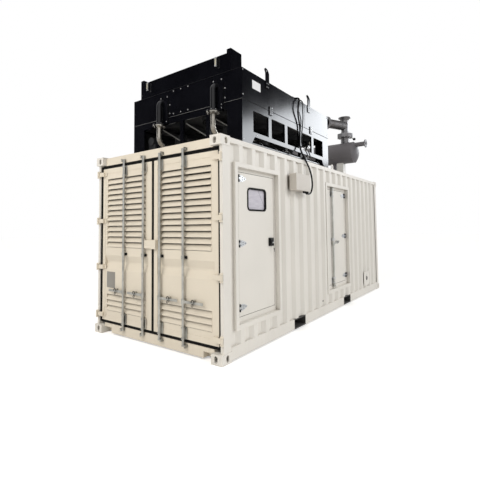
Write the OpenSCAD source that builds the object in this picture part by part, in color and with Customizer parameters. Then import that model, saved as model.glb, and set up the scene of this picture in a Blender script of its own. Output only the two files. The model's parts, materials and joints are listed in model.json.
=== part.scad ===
// Containerised turbine generator set: a 20 ft plant container with louvred
// cargo doors, two personnel doors, a flat-bed radiator and an exhaust
// silencer on its roof. X runs along the container with the cargo doors at -X,
// the personnel doors are in the -Y wall, Z is up, and the origin is in the
// middle of the plane under the four bottom corner fittings.

/* [Container] */
// Length over the corner fittings
length = 6058; // [5000:1:7400]
// Width over the corner fittings
width = 2438; // [2100:1:2950]
// Height over the corner fittings
height = 2591; // [2400:1:3200]
// Thickness of the corrugated wall and roof sheets
sheet_t = 3; // [1.6:0.1:6]
// Depth of the wall corrugation
wave_d = 36; // [20:1:45]
// Raised flat of one wall wave
wave_out = 71; // [50:1:100]
// Recessed flat of one wall wave
wave_in = 70; // [50:1:100]
// Run of one sloping flank of a wall wave
wave_slope = 68; // [40:1:90]
// Height of the bottom side rails
rail_h = 145; // [120:1:180]
// Size of the square top side rails
top_rail = 60; // [50:1:80]
// Height of the door header beam
header_h = 112; // [90:1:140]
// How far the door end beams stand back from the corner fittings
end_recess = 60; // [50:1:90]
// Clear width of a forklift pocket
pocket_w = 350; // [300:1:420]
// Distance between the forklift pockets
pocket_span = 2000; // [1600:1:2200]
// Shift of the pocket pair towards the cargo doors
pocket_shift = 165; // [0:1:250]

/* [Cargo doors] */
// Thickness of a cargo door leaf
cargo_t = 50; // [40:1:60]
// Pitch of the louvre blades
louvre_pitch = 77.5; // [60:0.5:95]
// Blades in an upper louvre bank
louvre_n = 13; // [8:1:14]
// Blades in a lower louvre bank
low_louvre_n = 3; // [2:1:4]
// Diameter of a lock bar
bar_d = 34; // [25:1:38]
// Distance of the inner lock bars from the middle of the door end
bar_inner = 164; // [150:1:220]
// Distance of the outer lock bars from the middle of the door end
bar_outer = 590; // [500:1:640]
// Height of the lock bar handles
handle_z = 636; // [580:1:700]
// Length of a lock bar handle
handle_len = 330; // [250:1:380]
// Diameter of the cargo door hinge pins
pin_d = 16; // [12:1:20]

/* [Personnel doors] */
// Outer width of the front personnel door frame
front_frame_w = 1058; // [950:1:1200]
// Outer width of the rear personnel door frame
rear_frame_w = 1153; // [1000:1:1300]
// Front door frame to the cargo door end of the container
front_door_at = 271; // [200:1:400]
// Rear door frame to the cargo door end of the container
rear_door_at = 2944; // [2500:1:3100]
// Height of the underside of both frames
frame_z0 = 324; // [280:1:400]
// Outer height of both frames
frame_h = 1982; // [1800:1:2000]
// Width of the outer bar of a frame
frame_bar = 55; // [40:1:70]
// Depth of a frame through the wall
frame_depth = 100; // [90:1:120]
// How deep a leaf sits in its frame
leaf_recess = 62; // [40:1:70]
// Thickness of a personnel door leaf
leaf_t = 40; // [30:1:50]
// Gap all round a personnel door leaf
leaf_gap = 6; // [5:1:10]

/* [Radiator] */
// Length of the roof radiator
rad_l = 2770; // [2600:1:3400]
// Width of the roof radiator
rad_w = 2202; // [1800:1:2300]
// Height of the radiator above the roof
rad_h = 1024; // [850:1:1250]
// Height of its open lower frame
rad_low_h = 611; // [500:1:740]
// Radiator to the cargo door end of the container
rad_at = 589; // [450:1:700]
// Windows along each side of the lower frame
win_n = 5; // [3:1:5]
// Width of one window
win_w = 390; // [300:1:400]
// Height of one window
win_h = 288; // [240:1:300]
// Diameter of the coolant pipes
coolant_d = 76; // [60:1:100]

/* [Exhaust] */
// Diameter of the silencer
silencer_d = 470; // [380:1:570]
// Length of the silencer's straight shell
silencer_l = 2148; // [1700:1:2200]
// Silencer's centre line to the rear end of the container
silencer_at = 1129; // [900:1:1300]
// Height of the silencer's centre line above the roof
silencer_z = 605; // [500:1:730]
// Diameter of the exhaust pipes
exhaust_d = 200; // [160:1:240]

/* [Hidden] */
$fn = 48;

// Planes shared by the container's pieces
end_x = length/2;
side_y = width/2;
fit_l = 178;
fit_w = 162;
fit_h = 118;
// Top of the roof rails, a little under the corner fittings
roof_z = height - 12;
base_z = 15;
rail_top_z = base_z + rail_h;
rail_lip = 6;
rail_flange = 50;
rail_y = side_y - 3;
wall_y = side_y - 6;
wall_x0 = -end_x + fit_l;
wall_x1 = end_x - fit_l;
wall_z1 = roof_z - top_rail;
beam_x = -end_x + end_recess;
beam_t = 100;
beam_y = side_y - fit_w;
sill_z1 = rail_top_z - 15;
header_z0 = roof_z - header_h;
wave_pitch = wave_out + wave_in + 2*wave_slope;

cream = "#ece8dc";
zinc = "#b9bdbf";
black = "#17181a";
steel = "#9a9890";

// Depth of a trapezoid wave at x, with a recessed flat centred on zero
function wave(x, a, s, b, d) =
    let (p = a + b + 2*s, v = ((x + a/2) % p + p) % p)
    v < a ? d : v < a + s ? d*(1 - (v - a)/s) : v < p - s ? 0 : d*(v - p + s)/s;

function wave_line(x0, x1, a, s, b, d) =
    let (p = a + b + 2*s, k0 = floor(x0/p) - 1, k1 = ceil(x1/p) + 1)
    concat(
        [[x0, wave(x0, a, s, b, d)]],
        [for (k = [k0:k1], c = [-a/2, a/2, a/2 + s, p - a/2 - s])
            let (x = k*p + c) if (x > x0 + 0.5 && x < x1 - 0.5) [x, wave(x, a, s, b, d)]],
        [[x1, wave(x1, a, s, b, d)]]);

function reversed(v) = [for (i = [len(v) - 1:-1:0]) v[i]];

module block(lo, hi) {
    translate(lo) cube(hi - lo);
}

// A corrugated sheet from x0 to x1, its raised face on y = 0, h tall
module wavy_sheet(x0, x1, h, a, s, b, d, t) {
    front = wave_line(x0, x1, a, s, b, d);
    back = [for (q = front) [q[0], q[1] + t]];
    linear_extrude(h) polygon(concat(front, reversed(back)));
}

module wall_sheet(x0, x1, z0, z1) {
    translate([0, -wall_y, z0])
        wavy_sheet(x0, x1, z1 - z0, wave_in, wave_slope, wave_out, wave_d, sheet_t);
}

// Children drawn for the fitting at -X -Y are mirrored to one of four corners
module at_corner(sx, sy) {
    translate([sx*end_x, sy*side_y, 0])
        mirror([sx > 0 ? 1 : 0, 0, 0]) mirror([0, sy > 0 ? 1 : 0, 0]) children();
}

module both_sides() {
    children();
    mirror([0, 1, 0]) children();
}

module tube_x(x0, x1, r) {
    translate([x0, 0, 0]) rotate([0, 90, 0]) cylinder(r = r, h = x1 - x0);
}

module tube_y(y0, y1, r) {
    translate([0, y0, 0]) rotate([-90, 0, 0]) cylinder(r = r, h = y1 - y0);
}

// Corner fittings
slot_l = 124;
slot_w = 63.5;
fit_slot_x = 102.5;
fit_slot_y = 89.5;
fit_wall = 18;
fit_back = 12;
fit_plate = 28;
hole_w = 51;
hole_h = 79.5;
hole_z = 62;

module corner_fitting() {
    difference() {
        cube([fit_l, fit_w, fit_h]);
        block([fit_wall, fit_wall, fit_plate], [fit_l - fit_back, fit_w - fit_back, fit_h - fit_back]);
        translate([fit_slot_x, fit_slot_y, -1]) {
            half = (slot_l - slot_w)/2;
            for (s = [-1, 1]) translate([s*half, 0, 0]) cylinder(d = slot_w, h = fit_plate + 2);
            translate([-half, -slot_w/2, 0]) cube([2*half, slot_w, fit_plate + 2]);
        }
        translate([0, fit_slot_y, hole_z]) rotate([90, 0, 90]) upright_oval();
        translate([fit_slot_x, 0, hole_z]) rotate([90, 0, 180]) upright_oval();
    }
}

module upright_oval() {
    reach = (hole_h - hole_w)/2;
    translate([0, 0, -1]) linear_extrude(fit_wall + 2) {
        for (s = [-1, 1]) translate([0, s*reach]) circle(d = hole_w);
        square([hole_w, 2*reach], center = true);
    }
}

module bottom_corner_fittings() {
    color(cream) for (sx = [-1, 1], sy = [-1, 1]) at_corner(sx, sy) corner_fitting();
}

module top_corner_fittings() {
    color(cream) for (sx = [-1, 1], sy = [-1, 1])
        at_corner(sx, sy) translate([0, 0, height]) mirror([0, 0, 1]) corner_fitting();
}

// Upright posts between the fittings
post_x = 39;
post_in = 6;
post_w = 43;
post_wall = 8;
rear_leg = 150;
rear_cut = 30;

module corner_posts() {
    h = height - 2*fit_h;
    color(cream) {
        for (sy = [-1, 1]) at_corner(-1, sy) translate([0, 0, fit_h]) difference() {
            block([post_x, post_in, 0], [fit_l, post_in + post_w, h]);
            block([post_x + post_wall, post_in + post_wall, -1],
                  [fit_l - post_wall, post_in + post_w - post_wall, h + 1]);
        }
        for (sy = [-1, 1]) at_corner(1, sy) translate([post_in, post_in, fit_h]) linear_extrude(h)
            difference() {
                polygon([[0, rear_cut], [rear_cut, 0], [rear_leg, 0], [rear_leg, rear_leg], [0, rear_leg]]);
                polygon([[post_wall, rear_cut + 3], [rear_cut + 3, post_wall], [rear_leg + 1, post_wall],
                         [rear_leg + 1, rear_leg + 1], [post_wall, rear_leg + 1]]);
            }
    }
}

// Bottom rails are channels, broken where the forklift pockets cross them
pocket_wall = 6;
pocket_edge = 15;
pocket_z0 = base_z + pocket_edge;
pocket_z1 = rail_top_z - pocket_edge;
pockets = [for (s = [-1, 1]) s*pocket_span/2 - pocket_shift];

module rail_channel(x0, x1) {
    translate([x0, -rail_y, base_z]) rotate([90, 0, 90]) linear_extrude(x1 - x0)
        polygon([[0, 0], [rail_flange, 0], [rail_flange, rail_lip], [rail_lip, rail_lip],
                 [rail_lip, rail_h - rail_lip], [rail_flange, rail_h - rail_lip],
                 [rail_flange, rail_h], [0, rail_h]]);
}

module bottom_side_rails() {
    half = pocket_w/2 + pocket_wall;
    color(cream) both_sides() {
        rail_channel(wall_x0, pockets[0] - half);
        rail_channel(pockets[0] + half, pockets[1] - half);
        rail_channel(pockets[1] + half, wall_x1);
    }
}

module fork_pockets() {
    half = pocket_w/2;
    inner_y = rail_y - rail_flange;
    color(cream) for (x = pockets) difference() {
        union() {
            block([x - half - pocket_wall, -inner_y, base_z + rail_lip],
                  [x + half + pocket_wall, inner_y, rail_top_z - rail_lip]);
            for (s = [-1, 1]) translate([0, s*(rail_y - rail_flange/2), 0])
                block([x - half - pocket_wall, -rail_flange/2, base_z],
                      [x + half + pocket_wall, rail_flange/2, rail_top_z]);
        }
        block([x - half, -rail_y - 1, pocket_z0], [x + half, rail_y + 1, pocket_z1]);
    }
}

// Floor and what carries it
floor_t = 28;
member_w = 45;
member_t = 5;
member_n = 15;
member_edge = 80;
floor_z0 = rail_top_z - rail_lip;

module floor_cross_members() {
    y = rail_y - rail_lip;
    h = floor_z0 - base_z - rail_lip;
    step = (wall_x1 - wall_x0 - 2*member_edge - member_w)/(member_n - 1);
    clear = pocket_w/2 + pocket_wall + member_w;
    color(cream) for (i = [0:member_n - 1]) let (x = wall_x0 + member_edge + i*step)
        if (min([for (p = pockets) abs(x + member_w/2 - p)]) > clear)
            translate([x, y, base_z + rail_lip]) rotate([90, 0, 0]) linear_extrude(2*y)
                polygon([[0, 0], [member_w, 0], [member_w, member_t], [member_t, member_t],
                         [member_t, h - member_t], [member_w, h - member_t],
                         [member_w, h], [0, h]]);
}

module floor() {
    color("#8a8a86") block([beam_x + beam_t, -rail_y + rail_flange, floor_z0],
                           [wall_x1 + 60, rail_y - rail_flange, floor_z0 + floor_t]);
}

// Beams across the two ends
notch_w = 165;
notch_z = 95;

// Sill with a notch beside each fitting, and header
module door_end_beams() {
    notch_x = beam_x + beam_t - 20;
    color(cream) {
        difference() {
            block([beam_x, -beam_y, base_z + 5], [beam_x + beam_t, beam_y, sill_z1]);
            both_sides() block([beam_x - 1, -beam_y - 1, base_z], [notch_x, notch_w - beam_y, notch_z]);
        }
        block([beam_x, -beam_y, header_z0], [beam_x + beam_t, beam_y, roof_z]);
    }
}

module top_side_rails() {
    color(cream) both_sides() difference() {
        block([wall_x0, -rail_y, wall_z1], [wall_x1, -rail_y + top_rail, roof_z]);
        block([wall_x0 - 1, -rail_y + 4, wall_z1 + 4], [wall_x1 + 1, -rail_y + top_rail - 4, roof_z - 4]);
    }
}

rear_out = end_x - 6;
rear_t = 70;
rear_beam_h = 106;

module rear_end_rails() {
    color(cream) {
        block([rear_out - rear_t, -beam_y, base_z], [rear_out, beam_y, rail_top_z]);
        block([rear_out - rear_t, -beam_y, roof_z - rear_beam_h], [rear_out, beam_y, roof_z]);
    }
}

module rear_wall() {
    y = side_y - post_in - rear_leg;
    z0 = rail_top_z;
    z1 = roof_z - rear_beam_h;
    color(cream) translate([rear_out, 0, z0]) rotate([0, 0, 90])
        wavy_sheet(-y, y, z1 - z0, wave_in, wave_slope, wave_out, wave_d, sheet_t);
}

module far_side_wall() {
    color(cream) mirror([0, 1, 0]) wall_sheet(wall_x0, wall_x1, rail_top_z, wall_z1);
}

// The near wall runs between, over and under the personnel doors
frame_z1 = frame_z0 + frame_h;
front_x0 = -end_x + front_door_at;
front_x1 = front_x0 + front_frame_w;
rear_x0 = -end_x + rear_door_at;
rear_x1 = rear_x0 + rear_frame_w;

module near_wall_panels() {
    color(cream) {
        wall_sheet(wall_x0, front_x0, rail_top_z, wall_z1);
        wall_sheet(front_x1, rear_x0, rail_top_z, wall_z1);
        wall_sheet(rear_x1, wall_x1, rail_top_z, wall_z1);
    }
}

module near_wall_door_panels() {
    color(cream) for (x = [[front_x0, front_x1], [rear_x0, rear_x1]]) {
        wall_sheet(x[0], x[1], frame_z1, wall_z1);
        wall_sheet(x[0], x[1], rail_top_z, frame_z0);
    }
}

roof_in = 70;
roof_out = 105;
roof_slope = 17;
roof_d = 20;

// The roof sheet is notched round the four top fittings
module roof_panel() {
    y = rail_y - top_rail;
    z = roof_z - roof_d - sheet_t - 1;
    color(cream) difference() {
        translate([0, y, roof_z]) rotate([90, 0, 0]) mirror([0, 1, 0])
            wavy_sheet(beam_x + beam_t, rear_out - rear_t, 2*y,
                       roof_in, roof_slope, roof_out, roof_d, sheet_t);
        both_sides() for (x = [[-end_x, wall_x0], [wall_x1, end_x]])
            block([x[0], -y - 1, z], [x[1], -beam_y, roof_z + 1]);
    }
}

// Personnel door frames: an outer bar round a recessed band that the leaf fills
band_hinge = 80;
band_lock = 45;
band_top = 45;
band_bottom = 65;
frame_y0 = -side_y;
leaf_y = frame_y0 + leaf_recess;

// Leaf limits follow from the frames; the front leaf hangs at its -X edge
leaf_z0 = frame_z0 + frame_bar + band_bottom + leaf_gap;
leaf_z1 = frame_z1 - frame_bar - band_top - leaf_gap;
front_leaf_x0 = front_x0 + frame_bar + band_hinge + leaf_gap;
front_leaf_x1 = front_x1 - frame_bar - band_lock - leaf_gap;
rear_leaf_x0 = rear_x0 + frame_bar + band_lock + leaf_gap;
rear_leaf_x1 = rear_x1 - frame_bar - band_hinge - leaf_gap;

frame_y1 = frame_y0 + frame_depth;

module door_frame(x0, x1) {
    difference() {
        block([x0, frame_y0, frame_z0], [x1, frame_y1, frame_z1]);
        block([x0 + frame_bar, frame_y0 - 1, frame_z0 + frame_bar],
              [x1 - frame_bar, frame_y1 + 1, frame_z1 - frame_bar]);
    }
}

module personnel_door_frames() {
    color(cream) {
        door_frame(front_x0, front_x1);
        door_frame(rear_x0, rear_x1);
    }
}

module door_lining(x0, x1, leaf_x0, leaf_x1) {
    difference() {
        block([x0 + frame_bar, leaf_y, frame_z0 + frame_bar],
              [x1 - frame_bar, frame_y1, frame_z1 - frame_bar]);
        block([leaf_x0 - leaf_gap, leaf_y - 1, leaf_z0 - leaf_gap],
              [leaf_x1 + leaf_gap, frame_y1 + 1, leaf_z1 + leaf_gap]);
    }
}

module personnel_door_linings() {
    color(cream) {
        door_lining(front_x0, front_x1, front_leaf_x0, front_leaf_x1);
        door_lining(rear_x0, rear_x1, rear_leaf_x0, rear_leaf_x1);
    }
}

// Hinge pins stand in front of the leaf, at its hinged edge
side_pin_y = leaf_y - 12;
side_pin_r = 5;
knuckle_r = 10;
knuckle_h = 26;
strap_t = 5;
strap_h = 78;
strap_l = 165;
front_pin_x = front_leaf_x0 - leaf_gap/2;
rear_pin_x = rear_leaf_x1 + leaf_gap/2;
hinge_zs = [leaf_z0 + 105, (leaf_z0 + leaf_z1)/2, leaf_z1 - 75];

// Drawn for a leaf that lies on the +X side of its pin
module fixed_hinge_half() {
    plate_x = -knuckle_r - 3;
    translate([6 - band_hinge, leaf_y - strap_t, -strap_h/2])
        cube([band_hinge - 6 + plate_x, strap_t, strap_h]);
    for (s = [-1, 1]) translate([0, side_pin_y, s*knuckle_h - knuckle_h/2 + 0.5]) {
        cylinder(r = knuckle_r, h = knuckle_h - 1);
        translate([plate_x - 1, 0, 0]) cube([knuckle_r + 3, leaf_y - side_pin_y, knuckle_h - 1]);
    }
    translate([0, side_pin_y, -1.5*knuckle_h]) cylinder(r = side_pin_r, h = 3*knuckle_h);
}

module moving_hinge_half() {
    translate([0, side_pin_y, 0]) difference() {
        union() {
            translate([0, 0, -knuckle_h/2 + 0.5]) cylinder(r = knuckle_r, h = knuckle_h - 1);
            translate([0, leaf_y - side_pin_y - strap_t, 0]) rotate([90, 0, 0])
                mirror([0, 0, 1]) linear_extrude(strap_t)
                polygon([[knuckle_r/2, -knuckle_h/2 + 0.5],
                         [knuckle_r + 2, -knuckle_h/2 + 0.5], [knuckle_r + 2, -strap_h/2],
                         [strap_l*0.45, -strap_h/2], [strap_l*0.8, -strap_h/4], [strap_l, 0],
                         [strap_l*0.8, strap_h/4], [strap_l*0.45, strap_h/2],
                         [knuckle_r + 2, strap_h/2], [knuckle_r + 2, knuckle_h/2 - 0.5],
                         [knuckle_r/2, knuckle_h/2 - 0.5]]);
        }
        translate([0, 0, -knuckle_h]) cylinder(r = side_pin_r + 0.5, h = 2*knuckle_h);
    }
}

module side_door_hinge_brackets() {
    color(zinc) for (z = hinge_zs) {
        translate([front_pin_x, 0, z]) fixed_hinge_half();
        translate([rear_pin_x, 0, z]) mirror([1, 0, 0]) fixed_hinge_half();
    }
}

// Window in the front personnel door
window_w = 443;
window_h = 300;
window_r = 60;
window_z = 1880;
seal_w = 22;
window_x = (front_leaf_x0 + front_leaf_x1)/2;

module window_outline(inset) {
    w = window_w/2 - inset;
    h = window_h/2 - inset;
    r = window_r - inset;
    for (sx = [-1, 1], sz = [-1, 1]) translate([sx*(w - r), sz*(h - r)]) circle(r = r);
    square([2*w, 2*(h - r)], center = true);
    square([2*(w - r), 2*h], center = true);
}

module window_slab(y0, y1, inset) {
    translate([window_x, y1, window_z]) rotate([90, 0, 0]) linear_extrude(y1 - y0)
        window_outline(inset);
}

module leaf(x0, x1) {
    block([x0, leaf_y, leaf_z0], [x1, leaf_y + leaf_t, leaf_z1]);
}

module front_door_leaf() {
    color(cream) difference() {
        leaf(front_leaf_x0, front_leaf_x1);
        window_slab(leaf_y - 1, leaf_y + leaf_t + 1, 10);
    }
}

module front_door_window_seal() {
    color(black) difference() {
        union() {
            window_slab(leaf_y - 6, leaf_y, 0);
            window_slab(leaf_y, leaf_y + leaf_t, 10);
            window_slab(leaf_y + leaf_t, leaf_y + leaf_t + 6, 0);
        }
        window_slab(leaf_y - 7, leaf_y + leaf_t + 7, seal_w);
    }
}

module front_door_window_pane() {
    mid = leaf_y + leaf_t/2;
    color("#c3c6cc") window_slab(mid - 3, mid + 3, seal_w);
}

module front_door_hinges() {
    color(zinc) for (z = hinge_zs) translate([front_pin_x, 0, z]) moving_hinge_half();
}

module front_door_latch() {
    color(black) block([front_leaf_x1 - 132, leaf_y - 22, 1265], [front_leaf_x1 - 27, leaf_y, 1375]);
}

module rear_door_leaf() {
    color(cream) leaf(rear_leaf_x0, rear_leaf_x1);
}

// A lock bar, its guides and its keepers are drawn round a bar on x = y = 0,
// standing in front of a face at y = bar_off
bar_off = 29;
guide_gap = 0.8;
guide_r = bar_d/2 + guide_gap + 7;
collar_h = 18;

module bar_guide(h, face) {
    difference() {
        union() {
            for (z = [0, h - collar_h]) translate([0, 0, z]) {
                cylinder(r = guide_r, h = collar_h);
                translate([-guide_r, 0, 0]) cube([2*guide_r, face, collar_h]);
            }
            translate([-guide_r - 14, face - 6, 0]) cube([2*guide_r + 28, 6, h]);
            translate([guide_r - 6, 0, 0]) cube([6, face, h]);
        }
        translate([0, 0, -1]) cylinder(r = bar_d/2 + guide_gap, h = h + 2);
    }
}

// Finger at a bar end, reaching towards +X from the bar
finger_l = 46;
finger_h = 14;
keeper_gap = 6;

bar_fit = 0.3;

module bar_end() {
    translate([0, 0, -finger_h/2]) difference() {
        union() {
            translate([0, -bar_d/2 + 4, 0]) cube([finger_l, bar_d - 8, finger_h]);
            cylinder(r = bar_d/2 + 3, h = finger_h);
        }
        translate([0, 0, -1]) cylinder(r = bar_d/2 + bar_fit, h = finger_h + 2);
    }
}

// The rod from one cam to the other, and the cams on its ends
module bar_rod(z0, z1) {
    translate([0, 0, z0 - finger_h/2]) cylinder(d = bar_d, h = z1 - z0 + finger_h);
    for (z = [z0, z1]) translate([0, 0, z]) bar_end();
}

module keeper(face) {
    x0 = bar_d/2 + 7;
    z = finger_h/2 + keeper_gap;
    translate([-10, face - 6, -z - 6]) cube([x0 + finger_l - 8, 6, 2*z + 12]);
    for (s = [-1, 1]) translate([x0, -bar_d/2, s*(z + 3) - 3])
        cube([finger_l - 20, face + bar_d/2, 6]);
}

arm_t = 8;
arm_h = 32;
hub_h = 60;

// Handle reaching towards +X from the bar
module bar_handle(l, rise) {
    difference() {
        union() {
            translate([0, 0, -hub_h/2]) cylinder(r = bar_d/2 + 7, h = hub_h);
            rotate([0, -rise, 0]) translate([0, -arm_t/2 - 4, -arm_h/2]) cube([l, arm_t, arm_h]);
        }
        translate([0, 0, -hub_h]) cylinder(r = bar_d/2 + bar_fit, h = 2*hub_h);
    }
}

module handle_catch(face) {
    for (s = [-1, 1]) translate([0, -12, s*(arm_h/2 + 9) - 3]) cube([24, face + 12, 6]);
    translate([0, face - 6, -arm_h/2 - 12]) cube([24, 6, arm_h + 24]);
}

// Cargo door lock bars: side +1 is the door at +Y
bar_x = beam_x - bar_off;
bar_z0 = sill_z1 - 33;
bar_z1 = header_z0 + 30;
bars = [bar_outer, bar_inner, -bar_inner, -bar_outer];

// Places children drawn with +X towards the door's hinges and +Y into the door
module on_bar(y) {
    translate([bar_x, y, 0]) mirror([0, y < 0 ? 1 : 0, 0]) rotate([0, 0, 90]) mirror([0, 1, 0])
        children();
}

module lock_bar(y) {
    color(zinc) on_bar(y) {
        bar_rod(bar_z0, bar_z1);
        translate([0, 0, handle_z]) bar_handle(handle_len, 0);
    }
}

module lock_bar_1() { lock_bar(bars[0]); }

module lock_bar_2() { lock_bar(bars[1]); }

module lock_bar_3() { lock_bar(bars[2]); }

module lock_bar_4() { lock_bar(bars[3]); }

// Rear personnel door lock bar
rear_bar_x = rear_leaf_x0 + 249;
rear_bar_y = leaf_y - bar_off;
rear_bar_z0 = leaf_z0 - 28;
rear_bar_z1 = leaf_z1 + 24;
rear_handle_z = 1195;
rear_handle_l = 285;
rear_handle_rise = 8;

module rear_door_lock_bar() {
    color(zinc) translate([rear_bar_x, rear_bar_y, 0]) {
        bar_rod(rear_bar_z0, rear_bar_z1);
        translate([0, 0, rear_handle_z]) bar_handle(rear_handle_l, rear_handle_rise);
    }
}

module rear_door_hinges() {
    color(zinc) {
        for (z = hinge_zs) translate([rear_pin_x, 0, z]) mirror([1, 0, 0]) moving_hinge_half();
        translate([rear_bar_x, rear_bar_y, 0]) {
            for (z = [leaf_z0 + 30, leaf_z1 - 130]) translate([0, 0, z]) bar_guide(100, bar_off);
            translate([0, 0, rear_handle_z + 60]) bar_guide(40, bar_off);
        }
    }
}

module bar_keepers() {
    color(zinc) {
        for (y = bars) on_bar(y) {
            translate([0, 0, bar_z0]) keeper(bar_off);
            translate([0, 0, bar_z1]) keeper(bar_off);
        }
        translate([rear_bar_x, rear_bar_y, 0]) {
            translate([0, 0, rear_bar_z0]) keeper(bar_off);
            translate([0, 0, rear_bar_z1]) keeper(bar_off);
        }
    }
}

// Cargo doors, drawn for the right-hand one at -Y and mirrored for the other
door_in = 24;
door_out = side_y - 89;
cargo_z0 = sill_z1 + 40;
cargo_z1 = header_z0 - 47;
stile_in = 66;
stile_out = 60;
rail_d = 70;
panel_t = 4;
bank_in = 145;
bank_out = side_y - 193;
bank_z0 = 1255;
low_bank_z0 = 335;
groove_z0 = 922;
groove_z1 = 1135;
groove_d = 36;
groove_flat = 24;
cargo_x = beam_x;

module louvre_bank(z0, n) {
    reach = 34;
    drop = 52;
    blade_t = 3;
    for (i = [0:n - 1]) translate([cargo_x, -bank_in, z0 + i*louvre_pitch])
        rotate([90, 0, 0]) linear_extrude(bank_out - bank_in)
        polygon([[-2, 0], [-2, 14], [reach, 14 + drop], [reach, 14 + drop - blade_t],
                 [-2 + blade_t, 14 - blade_t], [-2 + blade_t, 0]]);
}

module bank_hole(z0, n) {
    block([cargo_x - 10, -bank_out, z0 - 6], [cargo_x + cargo_t, -bank_in, z0 + n*louvre_pitch]);
}

module bank_edge(z0, n) {
    for (y = [-bank_out, -bank_in - panel_t])
        block([cargo_x + 1, y, z0 - 6], [cargo_x + 38, y + panel_t, z0 + n*louvre_pitch]);
}

module cargo_door() {
    slope = (groove_z1 - groove_z0 - groove_flat)/2;
    x = cargo_x + panel_t;
    block([cargo_x, -door_in - stile_in, cargo_z0], [cargo_x + cargo_t, -door_in, cargo_z1]);
    block([cargo_x, -door_out, cargo_z0], [cargo_x + cargo_t, -door_out + stile_out, cargo_z1]);
    for (z = [cargo_z0, cargo_z1 - rail_d])
        block([cargo_x, -door_out, z], [cargo_x + cargo_t, -door_in, z + rail_d]);
    difference() {
        front = [[0, cargo_z0 + 1], [0, groove_z0], [groove_d, groove_z0 + slope],
                 [groove_d, groove_z1 - slope], [0, groove_z1], [0, cargo_z1 - 1]];
        back = [for (q = front) [q[0] + panel_t, q[1]]];
        translate([x, -door_in - 1, 0]) rotate([90, 0, 0])
            linear_extrude(door_out - door_in - 2) polygon(concat(front, reversed(back)));
        bank_hole(bank_z0, louvre_n);
        bank_hole(low_bank_z0, low_louvre_n);
    }
    bank_edge(bank_z0, louvre_n);
    bank_edge(low_bank_z0, low_louvre_n);
    louvre_bank(bank_z0, louvre_n);
    louvre_bank(low_bank_z0, low_louvre_n);
    for (z = cargo_hinge_zs) cargo_blade(z);
}

// Hinge pins stand at the outer corners of the door end
pin_x = -end_x + 20;
pin_y = side_y - 15;
blade_h = 60;
barrel_r = pin_d/2 + 7;
lug_h = 20;
lug_gap = 2;
cargo_hinge_zs = [265, 960, 1638, 2337];

module cargo_blade(z) {
    translate([0, 0, z - blade_h/2]) difference() {
        union() {
            translate([pin_x, -pin_y, 0]) cylinder(r = barrel_r, h = blade_h);
            block([pin_x + 6, -pin_y, 0], [pin_x + 14, -door_out + 50, blade_h]);
            block([pin_x + 6, -door_out + 2, 0], [cargo_x + 1, -door_out + 50, blade_h]);
        }
        translate([pin_x, -pin_y, -1]) cylinder(d = pin_d + 2, h = blade_h + 2);
    }
}

module cargo_hinge_lugs() {
    post_face = -end_x + post_x;
    color(cream) both_sides() for (z = cargo_hinge_zs) {
        for (s = [-1, 1]) translate([0, 0, z + s*(blade_h/2 + lug_gap + lug_h/2) - lug_h/2]) {
            translate([pin_x, -pin_y, 0]) cylinder(r = barrel_r, h = lug_h);
            block([pin_x, -pin_y - 9, 0], [post_face, -pin_y + 30, lug_h]);
        }
        translate([pin_x, -pin_y, z - blade_h/2 - lug_h])
            cylinder(d = pin_d, h = blade_h + 2*lug_h);
    }
}

module cargo_door_left() { color(cream) mirror([0, 1, 0]) cargo_door(); }

module cargo_door_right() { color(cream) cargo_door(); }

gasket_out = 30;
gasket_in = 21;

module cargo_gasket() {
    difference() {
        block([cargo_x + 6, -door_out - gasket_out, cargo_z0 - 36],
              [cargo_x + 34, -door_in + gasket_in, cargo_z1 + 42]);
        block([cargo_x, -door_out, cargo_z0], [cargo_x + cargo_t, -door_in, cargo_z1]);
    }
}

module cargo_door_left_gasket() { color(black) mirror([0, 1, 0]) cargo_gasket(); }

module cargo_door_right_gasket() { color(black) cargo_gasket(); }

guide_tall = 140;
guide_short = 40;
mid_guide_z = 1145;
cover_z0 = 1257;
cover_h = 107;

module cargo_brackets(ys) {
    for (y = ys) on_bar(y) {
        for (z = [cargo_z0 + 5, cargo_z1 - guide_tall - 5])
            translate([0, 0, z]) bar_guide(guide_tall, bar_off);
        translate([0, 0, mid_guide_z]) bar_guide(guide_short, bar_off + panel_t);
        translate([160, 0, handle_z]) handle_catch(bar_off + panel_t);
    }
}

// Padlock cover over the middle gap, in two halves, one on each door
module cargo_door_left_brackets() {
    color(zinc) cargo_brackets([bars[0], bars[1]]);
    color(cream) block([cargo_x - 30, 3, cover_z0], [cargo_x, bar_inner - bar_d/2 - 8, cover_z0 + cover_h]);
}

module cargo_door_right_brackets() {
    color(zinc) cargo_brackets([bars[2], bars[3]]);
    color(cream) block([cargo_x - 36, -90, cover_z0 - 6], [cargo_x, -3, cover_z0 + cover_h + 6]);
}

// Junction box on the near wall under the radiator cables
box_x0 = rear_x0 - 1360;
box_w = 455;
box_d = 132;
box_z0 = 2065;
box_h = 240;
box_plate = 14;
lid_lip = 4;

// Back plate, box and overlapping lid
module junction_box() {
    y0 = -wall_y;
    x1 = box_x0 + box_w;
    z1 = box_z0 + box_h;
    color(cream) {
        block([box_x0 + 30, y0 - box_plate, box_z0 - 8], [x1 - 10, y0, z1 + 8]);
        block([box_x0, y0 - box_d + box_plate, box_z0], [x1, y0 - box_plate, z1]);
        block([box_x0 - lid_lip, y0 - box_d, box_z0 - lid_lip],
              [x1 + lid_lip, y0 - box_d + box_plate, z1 + lid_lip]);
    }
}

// Lashing eye on the near top rail
eye_x = 300;
eye_w = 90;
eye_t = 12;
eye_z = eye_w/2 + 10;
eye_hole_r = 22;

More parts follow.
